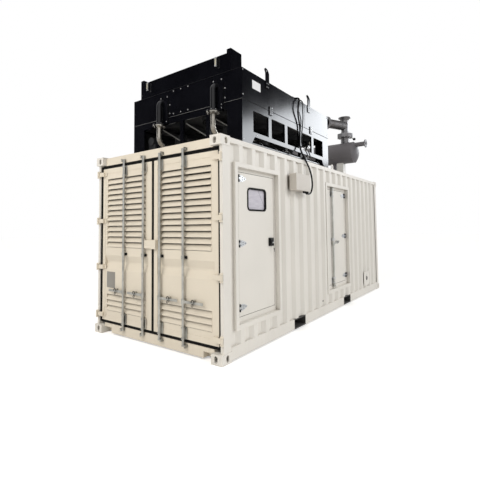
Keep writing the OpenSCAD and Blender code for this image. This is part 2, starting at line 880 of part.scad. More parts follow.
module lashing_eye() {
    y = rail_y - top_rail/2;
    color(cream) translate([eye_x, -y, roof_z]) difference() {
        union() {
            rotate([90, 0, 0]) linear_extrude(eye_t, center = true) {
                translate([0, eye_z]) circle(d = eye_w);
                translate([-eye_w/2, 0]) square([eye_w, eye_z]);
            }
            translate([-eye_w/2 - 10, -25, 0]) cube([eye_w + 20, 50, 8]);
        }
        translate([0, 0, eye_z]) tube_y(-eye_t, eye_t, eye_hole_r);
    }
}

// Plate with a round cable hole at the rear of the near wall
entry_at = 954;
entry_z = 355;
entry_w = 370;
entry_h = 285;
entry_t = 5;
entry_hole_r = 36;

module cable_entry_plate() {
    x = end_x - entry_at;
    color(cream) difference() {
        block([x - entry_w/2, -wall_y - entry_t, entry_z - entry_h/2],
              [x + entry_w/2, -wall_y, entry_z + entry_h/2]);
        translate([x, 0, entry_z]) tube_y(-wall_y - entry_t - 1, -wall_y + 1, entry_hole_r);
    }
}

// Radiator: an open lower frame, the core's casing over it
rad_x0 = -end_x + rad_at;
rad_x1 = rad_x0 + rad_l;
rad_y = rad_w/2;
seam_z = roof_z + rad_low_h;
rad_top = roof_z + rad_h;
frame_t = 30;
// Each side has a row of windows over one long gap with sloping ends
win_z = 219;
win_margin = 250;
win_step = (rad_l - 2*win_margin - win_w)/(win_n - 1);
gap_h = 156;
gap_margin = 175;
gap_slope = 108;
end_open = 850;
bay_y = 512;
end_post = 68;
end_z0 = 40;
end_z1 = 512;

module radiator_side_frames() {
    x1 = rad_l - gap_margin;
    color(black) both_sides() translate([rad_x0, -rad_y + frame_t, roof_z]) rotate([90, 0, 0])
        linear_extrude(frame_t) difference() {
            square([rad_l, rad_low_h]);
            for (i = [0:win_n - 1]) translate([win_margin + i*win_step, win_z]) square([win_w, win_h]);
            polygon([[gap_margin, -1], [x1, -1], [x1 - gap_slope, gap_h],
                     [gap_margin + gap_slope, gap_h]]);
        }
}

// Each end has four bays between its posts
module radiator_end_frames() {
    y = rad_y - frame_t;
    color(black) for (x = [rad_x0, rad_x1 - frame_t]) difference() {
        block([x, -y, roof_z], [x + frame_t, y, seam_z]);
        both_sides() {
            block([x - 1, end_post/2, roof_z + end_z0],
                  [x + frame_t + 1, bay_y - end_post/2, roof_z + end_z1]);
            block([x - 1, bay_y + end_post/2, roof_z + end_z0],
                  [x + frame_t + 1, end_open, roof_z + end_z1]);
        }
    }
}

casing_t = 6;
rim_w = 60;

module radiator_casing() {
    color(black) difference() {
        block([rad_x0, -rad_y, seam_z], [rad_x1, rad_y, rad_top]);
        block([rad_x0 + casing_t, -rad_y + casing_t, seam_z - 1],
              [rad_x1 - casing_t, rad_y - casing_t, rad_top - casing_t]);
        block([rad_x0 + rim_w, -rad_y + rim_w, seam_z], [rad_x1 - rim_w, rad_y - rim_w, rad_top + 1]);
    }
}

core_z0 = seam_z + 40;

module radiator_core() {
    color("#2b2c2e") block([rad_x0 + casing_t, -rad_y + casing_t, core_z0],
                           [rad_x1 - casing_t, rad_y - casing_t, rad_top - casing_t]);
}

fan_r = 400;
fan_n = 3;
ring_h = 70;
ring_t = 6;
deck_z = seam_z - 40;
fan_step = (rad_l - 2*frame_t)/fan_n;
fan_xs = [for (i = [0:fan_n - 1]) rad_x0 + frame_t + (i + 0.5)*fan_step];

// Deck with a round opening and a ring for each fan
module radiator_fan_deck() {
    y = rad_y - frame_t;
    color("#3a3b3d") {
        difference() {
            block([rad_x0 + frame_t, -y, deck_z], [rad_x1 - frame_t, y, deck_z + ring_t]);
            for (x = fan_xs, s = [-1, 1]) translate([x, s*bay_y, deck_z - 1])
                cylinder(r = fan_r, h = ring_t + 2);
        }
        for (x = fan_xs, s = [-1, 1]) translate([x, s*bay_y, deck_z - ring_h]) difference() {
            cylinder(r = fan_r + ring_t, h = ring_h + 1);
            translate([0, 0, -1]) cylinder(r = fan_r, h = ring_h + 3);
        }
    }
}

motor_r = 95;
motor_h = 210;
beam_w = 40;
fan_beam_z = seam_z - 190;

// A beam between the end posts carries a fan motor under the middle of each opening
module fan_motor_beams() {
    x0 = rad_x0 + frame_t;
    x1 = rad_x1 - frame_t;
    color("#3a3b3d") for (y = [-bay_y, bay_y]) {
        block([x0, y - beam_w/2, fan_beam_z], [x1, y + beam_w/2, fan_beam_z + beam_w]);
        for (x = fan_xs) translate([x, y, fan_beam_z + beam_w - motor_h])
            cylinder(r = motor_r, h = motor_h);
    }
}

tank_y = 924;
tank_d = 240;
tank_h = 252;
tank_end = 70;
tank_peak = 305;
gauge_ys = [-681, 740];
gauge_z = 105;
gauge_h = 125;

// Expansion tank along the front edge of the casing, between two taller ends
module expansion_tank() {
    x1 = rad_x0 + tank_d;
    color(black) {
        block([rad_x0, -tank_y + tank_end - 1, rad_top], [x1, tank_y - tank_end + 1, rad_top + tank_h]);
        both_sides() block([rad_x0, -tank_y, rad_top], [x1, tank_end - tank_y, rad_top + tank_peak]);
        translate([rad_x0 + tank_d/2, 0, rad_top + tank_h - 1]) cylinder(r = 38, h = 42);
    }
    color(steel) for (y = gauge_ys)
        block([rad_x0 - 18, y - 13, rad_top + gauge_z], [rad_x0, y + 13, rad_top + gauge_z + gauge_h]);
}

// Coolant headers: a pipe that bends into the front panel beside a cover plate,
// and under each a flanged steel pipe that turns in and down through the roof
header_ys = [396, -675];
header_r = 38;
header_bend = 80;
header_b = rad_top - 517;
header_turn = rad_top - 238;
plate_w = 200;
plate_h = 357;
plate_t = 24;
plate_y = -128;
plate_z = 14;
flange_r = 92.5;
flange_t = 18;
bend_r = 125;
pipe_x = rad_x0 - header_bend;
pipe_drop = 158;
pipe_z = header_b - 2*flange_t - pipe_drop;
roof_run = 330;

// A quarter bend in the XZ plane, from straight up at x = 0 towards +X
module quarter_bend(r, bend) {
    translate([bend, 0, 0]) rotate([90, 0, 0]) rotate([0, 0, 90])
        rotate_extrude(angle = 90) translate([bend, 0]) circle(r = r);
}

module coolant_headers() {
    color(black) for (y = header_ys) {
        translate([pipe_x, y, 0]) {
            translate([0, 0, header_b - flange_t]) cylinder(r = flange_r, h = flange_t);
            translate([0, 0, header_b]) cylinder(r = header_r, h = header_turn - header_b);
            translate([0, 0, header_turn]) quarter_bend(header_r, header_bend);
        }
        block([rad_x0 - plate_t, y + plate_y, header_b + plate_z],
              [rad_x0, y + plate_y + plate_w, header_b + plate_z + plate_h]);
    }
    color(black) roof_header();
}

// Long header on the roof, on saddles behind the side frame
main_r = 57;
main_y = 1000;
main_z = roof_z + main_r + 20;
boss_x = -694.5;
boss_y = -1112;
boss_r = 14;

module roof_header() {
    x0 = rad_x0 + 90;
    x1 = rad_x1 - 90;
    translate([0, -main_y, main_z]) tube_x(x0, x1, main_r);
    translate([boss_x, 0, main_z]) tube_y(boss_y, -main_y, boss_r);
    for (x = [x0 + 200, (x0 + x1)/2, x1 - 200])
        block([x - 25, -main_y - 50, roof_z], [x + 25, -main_y + 50, main_z - 15]);
}

// Pump on the roof behind the front opening: a squat housing with its motor on top
pump_x = rad_x0 + 190;
pump_y = 780;
pump_h = 290;
motor_d = 120;

module coolant_pump() {
    color("#77797b") translate([pump_x, pump_y, roof_z]) {
        block([-110, -95, 0], [110, 95, 14]);
        block([-85, -80, 13], [85, 80, pump_h]);
        translate([0, 0, pump_h + motor_d/2 - 15]) {
            tube_x(-100, 130, motor_d/2);
            tube_x(130, 150, motor_d/2 + 6);
            tube_x(-106, -99, motor_d/2 + 6);
        }
    }
}

module coolant_pipes() {
    r = coolant_d/2;
    x1 = roof_run;
    color(steel) for (y = header_ys) translate([pipe_x, y, 0]) {
        translate([0, 0, header_b - 2*flange_t]) cylinder(r = flange_r, h = flange_t);
        translate([0, 0, pipe_z]) cylinder(r = r, h = header_b - 2*flange_t - pipe_z);
        translate([0, 0, pipe_z]) mirror([0, 0, 1]) quarter_bend(r, bend_r);
        translate([bend_r, 0, pipe_z - bend_r]) rotate([0, 90, 0]) cylinder(r = r, h = x1 - bend_r);
        translate([x1 + bend_r, 0, pipe_z - 2*bend_r]) mirror([1, 0, 0]) quarter_bend(r, bend_r);
        translate([x1 + bend_r, 0, roof_z]) {
            cylinder(r = r, h = pipe_z - 2*bend_r - roof_z);
            cylinder(r = flange_r, h = flange_t);
        }
    }
}

// Lifting lugs on the casing's sides, bent inwards above it, and clamps on the seam
lug_xs = [610, rad_l - 816];
clamp_xs = [693, rad_l - 744];
clamp_w = 76;
clamp_h = 124;
clamp_t = 14;
lug_w = 90;
lug_t = 12;
lug_down = 113;
lug_up = 120;
lug_lean = 18;
lug_hole_r = 22;

module radiator_lifting_lugs() {
    color(black) both_sides() for (x = lug_xs) translate([rad_x0 + x, -rad_y - lug_t, rad_top]) {
        block([-lug_w/2, 0, -lug_down], [lug_w/2, lug_t, lug_up]);
        translate([0, 0, lug_up]) rotate([-lug_lean, 0, 0]) difference() {
            translate([0, lug_t, 0]) rotate([90, 0, 0]) linear_extrude(lug_t) {
                translate([-lug_w/2, -4]) square([lug_w, 44]);
                translate([0, 40]) circle(d = lug_w);
            }
            translate([0, 0, 38]) tube_y(-1, lug_t + 1, lug_hole_r);
        }
    }
    color(black) both_sides() for (x = clamp_xs)
        block([rad_x0 + x - clamp_w/2, -rad_y - clamp_t, seam_z - clamp_h/2],
              [rad_x0 + x + clamp_w/2, -rad_y, seam_z + clamp_h/2]);
}

// Exhaust line on the rear of the roof
sil_x = end_x - silencer_at;
sil_z = roof_z + silencer_z;
sil_r = silencer_d/2;
dish = 95;
dish_r = (sil_r*sil_r + dish*dish)/(2*dish);
outlet_z = 166;
outlet_r = 50;
outlet_l = 160;

module silencer() {
    half = silencer_l/2;
    color("#4b4a49") translate([sil_x, 0, sil_z]) {
        tube_y(-half, half, sil_r);
        both_sides() intersection() {
            translate([0, -half - dish + dish_r, 0]) sphere(r = dish_r, $fn = 64);
            tube_y(-half - dish - 1, -half + 1, sil_r);
        }
        translate([0, 0, outlet_z]) difference() {
            union() {
                tube_y(-half - dish - outlet_l, -half + 10, outlet_r);
                tube_y(-half - dish - outlet_l - 15, -half - dish - outlet_l + 2, outlet_r + 40);
            }
            tube_y(-half - dish - outlet_l - 16, -half - dish, outlet_r - 6);
        }
    }
}

saddle_y = 620;
saddle_t = 60;
saddle_w = 110;
saddle_foot = 80;
foot_t = 12;

// A leg with a foot plate that flares in two arcs to a cradle under the shell
module silencer_saddles() {
    half = saddle_w/2;
    flare = sil_r - half;
    z1 = silencer_z - 95;
    color("#3c3b3b") both_sides() translate([sil_x, -saddle_y, roof_z]) difference() {
        union() {
            rotate([90, 0, 0]) linear_extrude(saddle_t, center = true) difference() {
                translate([-sil_r + 10, 0]) square([2*sil_r - 20, z1]);
                for (s = [-1, 1]) {
                    translate([s*sil_r, z1 - flare - 30]) circle(r = flare);
                    translate([s > 0 ? half : -sil_r, -1]) square([flare, z1 - flare - 29]);
                }
            }
            translate([-sil_r/2, -saddle_foot/2, 0]) cube([sil_r, saddle_foot, foot_t]);
        }
        translate([0, 0, silencer_z]) tube_y(-saddle_t, saddle_t, sil_r + 0.3);
    }
}

riser_y = -763;
riser_w = 150;
riser_foot = 190;

module exhaust_riser() {
    color("#d5d4cf") translate([sil_x, riser_y, roof_z]) difference() {
        union() {
            block([-riser_w/2, -riser_w/2, 0], [riser_w/2, riser_w/2, silencer_z - sil_r + 20]);
            block([-riser_foot/2, -riser_foot/2, 0], [riser_foot/2, riser_foot/2, foot_t]);
        }
        translate([0, 0, silencer_z]) tube_y(-riser_w, riser_w, sil_r + 0.3);
    }
}

// Tee: a neck on the silencer, a shut-off valve, a stack with a flared mouth
// and a flanged branch
tee_y = -870;
tee_angle = 155;
neck_d = 190;
stack_d = 160;
valve_z = 1006;
valve_h = 84;
valve_w = 356;
mouth_z = 1361;
mouth_h = 60;
mouth_d = 277;
mouth_rim = 14;
branch_z = 1240;
branch_l = 540;
pipe_wall = 5;

module exhaust_tee() {
    r = exhaust_d/2;
    color(steel) translate([sil_x, tee_y, roof_z]) difference() {
        union() {
            translate([0, 0, silencer_z]) cylinder(d = neck_d, h = valve_z - silencer_z);
            translate([0, 0, valve_z - valve_h/2]) cylinder(d = valve_w, h = valve_h, $fn = 8);
            translate([0, 0, valve_z]) cylinder(d = stack_d, h = mouth_z - valve_z);
            translate([0, 0, mouth_z]) cylinder(d1 = stack_d, d2 = mouth_d - 2*mouth_rim, h = mouth_h);
            translate([0, 0, mouth_z + mouth_h]) cylinder(d = mouth_d, h = mouth_rim);
            translate([0, 0, branch_z]) rotate([0, 0, tee_angle]) {
                tube_x(0, branch_l, r);
                tube_x(branch_l, branch_l + 16, r + 45);
            }
        }
        translate([0, 0, silencer_z]) tube_y(-2*r, 2*r, sil_r + 0.3);
        translate([0, 0, valve_z + 20])
            cylinder(r = stack_d/2 - pipe_wall, h = mouth_z - valve_z);
        translate([0, 0, branch_z]) rotate([0, 0, tee_angle]) tube_x(0, branch_l + 20, r - pipe_wall);
        translate([0, 0, mouth_z])
            cylinder(d1 = stack_d - 2*pipe_wall, d2 = mouth_d - 2*(mouth_rim + pipe_wall),
                     h = mouth_h + 0.01);
        translate([0, 0, mouth_z + mouth_h])
            cylinder(d = mouth_d - 2*(mouth_rim + pipe_wall), h = mouth_rim + 1);
    }
}

// Cables from the rim of the radiator casing to the junction box and to a sensor
// on the roof header
cable_d = 27;
wire_d = 18;
gland_wall = 6;
supply_route = [
    [-905, -1060, 3625], [-905, -1088, 3625], [-907, -1112, 3620], [-911, -1132, 3607],
    [-918, -1145, 3586], [-930, -1151, 3555], [-948, -1152, 3510], [-962, -1150, 3455],
    [-964, -1144, 3400], [-950, -1136, 3345], [-924, -1129, 3290], [-896, -1124, 3235],
    [-876, -1122, 3175], [-868, -1122, 3110], [-869, -1122, 3040], [-875, -1122, 2970],
    [-886, -1125, 2900], [-904, -1137, 2830], [-924, -1158, 2760], [-936, -1188, 2695],
    [-934, -1216, 2635], [-912, -1236, 2575], [-866, -1245, 2520], [-815, -1250, 2462],
    [-777, -1255, 2395], [-756, -1260, 2325], [-752, -1266, 2255], [-764, -1273, 2190],
    [-792, -1279, 2130], [-830, -1284, 2082], [-872, -1288, 2052], [-912, -1288, 2040],
    [-950, -1288, 2040]];
sensor_route = [
    [-800, -1060, 3620], [-800, -1090, 3620], [-799, -1114, 3613], [-797, -1132, 3596],
    [-795, -1143, 3570], [-794, -1147, 3535], [-794, -1146, 3495], [-786, -1140, 3452],
    [-768, -1132, 3405], [-752, -1125, 3358], [-745, -1120, 3306], [-748, -1117, 3254],
    [-758, -1117, 3202], [-770, -1117, 3150], [-782, -1117, 3098], [-795, -1117, 3046],
    [-806, -1117, 2994], [-812, -1117, 2942], [-808, -1117, 2895], [-786, -1117, 2856],
    [-744, -1117, 2834], [-694, -1118, 2830], [-642, -1119, 2826], [-592, -1120, 2810],
    [-548, -1121, 2783], [-516, -1122, 2745], [-504, -1123, 2704], [-512, -1125, 2680],
    [-532, -1126, 2663], [-562, -1127, 2656], [-612, -1127, 2656], [-660, -1127, 2656]];

function unit(v) = v/norm(v);
function route_dir(p, i) = unit(p[min(i + 1, len(p) - 1)] - p[max(i - 1, 0)]);

// One closed tube swept along the points
module swept_tube(p, d, sides) {
    rings = [for (i = [0:len(p) - 1])
        let (t = route_dir(p, i), u = unit(cross(t, [1, 0.3, 0.1])), v = cross(t, u))
        [for (k = [0:sides - 1]) p[i] + d/2*(cos(360*k/sides)*u + sin(360*k/sides)*v)]];
    points = [for (r = rings) each r];
    n = len(p);
    sides_f = [for (i = [0:n - 2], k = [0:sides - 1])
        [i*sides + k, i*sides + (k + 1) % sides, (i + 1)*sides + (k + 1) % sides, (i + 1)*sides + k]];
    first = [for (k = [sides - 1:-1:0]) k];
    last = [for (k = [0:sides - 1]) (n - 1)*sides + k];
    polyhedron(points, concat(sides_f, [first, last]));
}

module fan_supply_cable() { color("#0d0d0e") swept_tube(supply_route, cable_d, 10); }

module fan_sensor_cable() { color("#0d0d0e") swept_tube(sensor_route, wire_d, 8); }

// A trunk on the casing's rim, the glands under the junction box and the sensor
// head on its boss
trunk_y = -rad_y + rim_w - 2;
trunk_t = 13;
trunk_h = 44;
gland_l = 60;
spare_gland_r = 14;

module cable_glands() {
    first = [supply_route[0], sensor_route[0]];
    exits = [supply_route[len(supply_route) - 1], sensor_route[len(sensor_route) - 1]];
    color(black) {
        block([first[0][0] - 60, trunk_y - trunk_t, rad_top],
              [first[1][0] + 30, trunk_y, rad_top + trunk_h]);
        for (i = [0, 1]) translate([first[i][0], 0, first[i][2]])
            tube_y(first[i][1], trunk_y - trunk_t + 1, [cable_d, wire_d][i]/2 + gland_wall - i);
        translate(exits[0]) {
            tube_x(-gland_l, 0, cable_d/2 + gland_wall);
            translate([-gland_l + 20, 0, 0])
                cylinder(r = cable_d/2 + gland_wall + 2, h = box_z0 - exits[0][2]);
        }
        for (x = [100, 160]) translate([exits[0][0] - x, exits[0][1], box_z0 - 30])
            cylinder(r = spare_gland_r, h = 30);
        translate(exits[1]) {
            tube_x(-20, 0, wire_d/2 + gland_wall);
            block([-50, -16, -16], [-19, boss_y - exits[1][1], 16]);
        }
    }
}

bottom_corner_fittings();
top_corner_fittings();
corner_posts();
bottom_side_rails();
fork_pockets();
floor_cross_members();
floor();
door_end_beams();
top_side_rails();
rear_end_rails();
rear_wall();
far_side_wall();
near_wall_panels();
near_wall_door_panels();
roof_panel();
personnel_door_frames();
personnel_door_linings();
side_door_hinge_brackets();
junction_box();
cable_glands();
fan_supply_cable();
fan_sensor_cable();
cable_entry_plate();
lashing_eye();
cargo_hinge_lugs();
bar_keepers();
cargo_door_left();
cargo_door_left_gasket();
cargo_door_left_brackets();
cargo_door_right();
cargo_door_right_gasket();
cargo_door_right_brackets();
lock_bar_1();
lock_bar_2();
lock_bar_3();
lock_bar_4();
front_door_leaf();
front_door_window_seal();
front_door_window_pane();
front_door_hinges();
front_door_latch();
rear_door_leaf();
rear_door_hinges();
rear_door_lock_bar();
radiator_side_frames();
radiator_end_frames();
radiator_casing();
radiator_core();
radiator_fan_deck();
fan_motor_beams();
expansion_tank();
coolant_headers();
coolant_pipes();
coolant_pump();
radiator_lifting_lugs();
silencer();
silencer_saddles();
exhaust_riser();
exhaust_tee();
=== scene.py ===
"""Looks of the containerised turbine generator set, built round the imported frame."""
import json
import math

import bmesh
import bpy
from mathutils import Matrix, Vector


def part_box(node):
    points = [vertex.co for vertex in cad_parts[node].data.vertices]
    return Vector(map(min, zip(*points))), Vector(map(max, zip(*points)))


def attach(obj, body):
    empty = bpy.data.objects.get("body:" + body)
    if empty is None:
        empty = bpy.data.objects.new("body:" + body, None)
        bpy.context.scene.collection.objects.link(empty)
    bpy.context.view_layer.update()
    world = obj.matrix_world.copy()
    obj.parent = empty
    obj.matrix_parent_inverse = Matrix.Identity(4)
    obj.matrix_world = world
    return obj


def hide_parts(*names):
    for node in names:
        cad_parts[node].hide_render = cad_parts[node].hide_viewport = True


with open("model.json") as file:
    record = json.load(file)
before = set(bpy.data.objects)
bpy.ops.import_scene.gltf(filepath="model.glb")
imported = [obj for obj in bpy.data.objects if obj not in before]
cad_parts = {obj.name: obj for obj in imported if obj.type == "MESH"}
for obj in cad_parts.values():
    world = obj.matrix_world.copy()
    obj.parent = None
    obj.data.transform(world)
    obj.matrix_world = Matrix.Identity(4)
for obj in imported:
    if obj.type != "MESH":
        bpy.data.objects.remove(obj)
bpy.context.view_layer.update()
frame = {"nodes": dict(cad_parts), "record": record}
MM = 0.001
X = Vector((1, 0, 0))
Y = Vector((0, 1, 0))
Z = Vector((0, 0, 1))
BLACK = (0, 0, 0, 1)
WHITE = (1, 1, 1, 1)


# Places that follow from the frame, in millimetres
def box_mm(node):
    low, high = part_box(node)
    return Vector(low) / MM, Vector(high) / MM


fit_hi = box_mm("top_corner_fittings")[1]
case_lo, case_hi = box_mm("radiator_casing")
gasket_lo, gasket_hi = box_mm("cargo_door_left_gasket")
front_leaf_lo, front_leaf_hi = box_mm("front_door_leaf")
rear_leaf_lo, rear_leaf_hi = box_mm("rear_door_leaf")
latch_lo, latch_hi = box_mm("front_door_latch")
entry_lo, entry_hi = box_mm("cable_entry_plate")
shell_lo, shell_hi = box_mm("silencer")
riser_lo, riser_hi = box_mm("exhaust_riser")
roof_z = box_mm("radiator_end_frames")[0].z
seam_z = case_lo.z
rad_x0 = case_lo.x
rad_x1 = case_hi.x
rad_y = case_hi.y
rad_top = case_hi.z
wall_y = -(fit_hi.y - 6)
leaf_y = front_leaf_lo.y


# Materials
def srgb(*values):
    return tuple(v / 12.92 if v <= 0.04045 else ((v + 0.055) / 1.055) ** 2.4 for v in values) + (1.0,)


def tinted(colour, *factors):
    """The colour scaled by one factor, or by one for each channel."""
    if len(factors) == 1:
        factors = factors * 3
    return tuple(c * f for c, f in zip(colour, factors)) + (1.0,)


class Nodes:
    """A material's node tree, with short calls for what most finishes share."""

    def __init__(self, name):
        self.material = bpy.data.materials.new(name)
        self.material.use_nodes = True
        self.tree = self.material.node_tree
        self.shader = self.tree.nodes["Principled BSDF"]
        self.where = self.tree.nodes.new("ShaderNodeTexCoord").outputs["Object"]

    def new(self, kind, **values):
        """A node, with each value set on its property or its input of that name."""
        node = self.tree.nodes.new("ShaderNode" + kind)
        for key, value in values.items():
            if hasattr(node, key):
                setattr(node, key, value)
            else:
                node.inputs[key.replace("_", " ")].default_value = value
        return node

    def link(self, a, b):
        self.tree.links.new(a, b)

    def noise(self, scale, detail=4.0, stretch=None):
        node = self.new("TexNoise", Scale=scale, Detail=detail)
        source = self.where
        if stretch:
            mapping = self.new("Mapping", Scale=stretch)
            self.link(source, mapping.inputs["Vector"])
            source = mapping.outputs["Vector"]
        self.link(source, node.inputs["Vector"])
        return node.outputs["Fac"]

    def ramp(self, factor, low, high, at=(0.0, 1.0)):
        node = self.new("ValToRGB")
        first, last = node.color_ramp.elements
        first.position, last.position = at
        first.color, last.color = low, high
        self.link(factor, node.inputs["Fac"])
        return node.outputs["Color"]

    def mix(self, factor, a, b, blend="MIX"):
        node = self.tree.nodes.new("ShaderNodeMix")
        node.data_type = "RGBA"
        node.blend_type = blend
        for socket, value in ((node.inputs[0], factor), (node.inputs[6], a), (node.inputs[7], b)):
            if hasattr(value, "is_output"):
                self.link(value, socket)
            else:
                socket.default_value = value
        return node.outputs[2]

    def span(self, value, low, high):
        """Maps a 0 to 1 value to low to high."""
        node = self.new("MapRange", To_Min=low, To_Max=high)
        self.link(value, node.inputs["Value"])
        return node.outputs["Result"]

    def height(self, low, high):
        """0 below low and 1 above high, along Z in metres."""
        split = self.new("SeparateXYZ")
        self.link(self.where, split.inputs[0])
        node = self.new("MapRange", From_Min=low, From_Max=high)
        self.link(split.outputs["Z"], node.inputs["Value"])
        return node.outputs["Result"]

    def bump(self, value, strength, distance):
        """Adds a bump on top of those that are there."""
        node = self.new("Bump", Strength=strength, Distance=distance)
        self.link(value, node.inputs["Height"])
        last = self.shader.inputs["Normal"]
        if last.is_linked:
            self.link(last.links[0].from_socket, node.inputs["Normal"])
        self.link(node.outputs["Normal"], last)

    def colour(self, source):
        self.link(source, self.shader.inputs["Base Color"])

    def rough(self, source, low, high):
        self.link(self.span(source, low, high), self.shader.inputs["Roughness"])

    def set(self, **values):
        for key, value in values.items():
            self.shader.inputs[key.replace("_", " ")].default_value = value


def paint(name, colour, rough=(0.40, 0.55), tint=0.05, peel=0.10):
    """Sprayed coating: soft tone changes, orange peel, painted shade with some dirt in corners and seams,
    and a little dust low down.
    """
    dust = (0.10, 0.10, 0.10, 1)
    dust_top = 0.9
    corner_reach = 0.07
    n = Nodes(name)
    tone = n.ramp(n.noise(1.7, 5.0), tinted(colour, 1 - tint), colour, (0.30, 0.72))
    specks = n.ramp(n.noise(95.0, 3.0), (0.93, 0.92, 0.90, 1), WHITE, (0.30, 0.42))
    tone = n.mix(0.5, tone, specks, "MULTIPLY")
    streaks = n.ramp(n.noise(3.0, 5.0, (5.0, 5.0, 0.35)), BLACK, WHITE, (0.48, 0.80))
    low = n.ramp(n.height(0.0, dust_top), dust, BLACK)
    soil = n.mix(1.0, streaks, low, "MULTIPLY")
    grime = tinted(colour, 0.62, 0.56, 0.46)
    # Painted shade: where ambient occlusion finds near surfaces, in corners, seams and recesses, the colour
    # turns to the dark shade below; part of it stands for dirt there.
    shade = tinted(colour, 0.40, 0.36, 0.31)
    occlusion = n.new("AmbientOcclusion", samples=6, Distance=corner_reach)
    corners = n.ramp(occlusion.outputs["AO"], WHITE, BLACK, (0.10, 0.50))
    n.colour(n.mix(corners, n.mix(soil, tone, grime), shade))
    n.rough(n.noise(11.0, 5.0), *rough)
    n.bump(n.noise(260.0, 2.0), peel, 0.0012)
    n.bump(n.noise(2.4, 2.0), 0.10, 0.010)
    n.set(Specular_IOR_Level=0.35)
    return n.material


def metal(name, colour, rough=(0.25, 0.45), scale=60.0, dull=0.25, heat=None):
    """Bare or plated metal: grained and cloudy, with duller patches."""
    n = Nodes(name)
    tone = n.ramp(n.noise(9.0, 6.0), tinted(colour, 1 - dull), colour, (0.32, 0.66))
    grain = n.ramp(n.noise(scale), (0.80, 0.80, 0.80, 1), WHITE, (0.3, 0.7))
    tone = n.mix(0.6, tone, grain, "MULTIPLY")
    if heat:
        patches = n.ramp(n.noise(5.0, 3.0), BLACK, (0.75, 0.75, 0.75, 1), (0.42, 0.68))
        tone = n.mix(patches, tone, heat)
    n.colour(tone)
    n.rough(n.noise(26.0, 5.0), *rough)
    n.bump(n.noise(scale * 2, 3.0), 0.08, 0.0012)
    n.set(Metallic=1.0)
    return n.material


def rubber(name, colour, rough=(0.45, 0.65)):
    """Rubber or moulded plastic, greyer in patches."""
    n = Nodes(name)
    grey = tuple(min(1, c * 1.9 + 0.004) for c in colour[:3]) + (1.0,)
    n.colour(n.ramp(n.noise(7.0, 5.0), colour, grey, (0.45, 0.85)))
    n.rough(n.noise(30.0), *rough)
    n.bump(n.noise(420.0, 3.0), 0.25, 0.001)
    n.set(Specular_IOR_Level=0.18)
    return n.material


def gloss_black():
    """Deep gloss coating: fine dust film, soft waves of the sheet."""
    n = Nodes("gloss_black")
    n.colour(n.ramp(n.noise(2.2, 6.0), srgb(0.030, 0.032, 0.05), srgb(0.060, 0.063, 0.085), (0.35, 0.80)))
    n.rough(n.noise(3.5, 5.0), 0.12, 0.20)
    n.bump(n.noise(240.0, 2.0), 0.04, 0.001)
    n.bump(n.noise(1.5, 2.0), 0.10, 0.010)
    n.set(Specular_IOR_Level=0.42)
    return n.material


def window_glass():
    """Pale clear film with faint diagonal wipe marks."""
    n = Nodes("window_glass")
    tilt = n.new("Mapping", vector_type="TEXTURE", Scale=(0.05, 1.0, 2.0))
    tilt.inputs["Rotation"].default_value = (0.0, math.radians(-35), 0.0)
    n.link(n.where, tilt.inputs["Vector"])
    lines = n.new("TexNoise", Scale=1.0, Detail=2.0)
    n.link(tilt.outputs["Vector"], lines.inputs["Vector"])
    streaks = n.ramp(lines.outputs["Fac"], srgb(0.45, 0.45, 0.50), srgb(0.86, 0.85, 0.89), (0.30, 0.37))
    marks = n.noise(9.0, 3.0, (1.0, 1.0, 6.0))
    cloud = n.ramp(marks, srgb(0.72, 0.71, 0.76), srgb(0.86, 0.85, 0.88), (0.3, 0.7))
    n.colour(n.mix(0.5, streaks, cloud))
    n.rough(n.noise(40.0), 0.10, 0.22)
    n.bump(n.noise(6.0, 2.0), 0.05, 0.004)
    n.set(Specular_IOR_Level=0.15, Transmission_Weight=0.10)
    return n.material


def chequer_plate():
    """Raised tread lozenges on a satin grey plate."""
    n = Nodes("chequer_plate")
    tilt = n.new("Mapping")
    tilt.inputs["Rotation"].default_value = (0, 0, math.radians(45))
    n.link(n.where, tilt.inputs["Vector"])
    brick = n.new("TexBrick", Scale=22.0, Color1=WHITE, Color2=WHITE, Mortar=BLACK, Mortar_Size=0.09)
    n.link(tilt.outputs["Vector"], brick.inputs["Vector"])
    tone = n.ramp(n.noise(6.0, 6.0), srgb(0.40, 0.41, 0.41), srgb(0.56, 0.56, 0.55), (0.3, 0.7))
    n.colour(n.mix(0.35, tone, brick.outputs["Color"], "MULTIPLY"))
    n.rough(n.noise(20.0), 0.35, 0.6)
    n.bump(brick.outputs["Fac"], 0.4, 0.002)
    return n.material


def finned_core():
    """Cooling fins: fine dark lines across the core's tube rows."""
    n = Nodes("finned_core")
    fins = n.new("TexWave", wave_type="BANDS", bands_direction="X", Scale=95.0, Distortion=0.3)
    rows = n.new("TexWave", wave_type="BANDS", bands_direction="Y", Scale=14.0, Distortion=0.0)
    for node in (fins, rows):
        n.link(n.where, node.inputs["Vector"])
    fine = n.ramp(fins.outputs["Fac"], srgb(0.08, 0.08, 0.09), srgb(0.30, 0.30, 0.31), (0.2, 0.8))
    band = n.ramp(rows.outputs["Fac"], (0.35, 0.35, 0.35, 1), WHITE, (0.05, 0.30))
    n.colour(n.mix(1.0, fine, band, "MULTIPLY"))
    n.rough(n.noise(12.0), 0.4, 0.65)
    n.bump(fins.outputs["Fac"], 0.5, 0.003)
    n.set(Metallic=0.6)
    return n.material


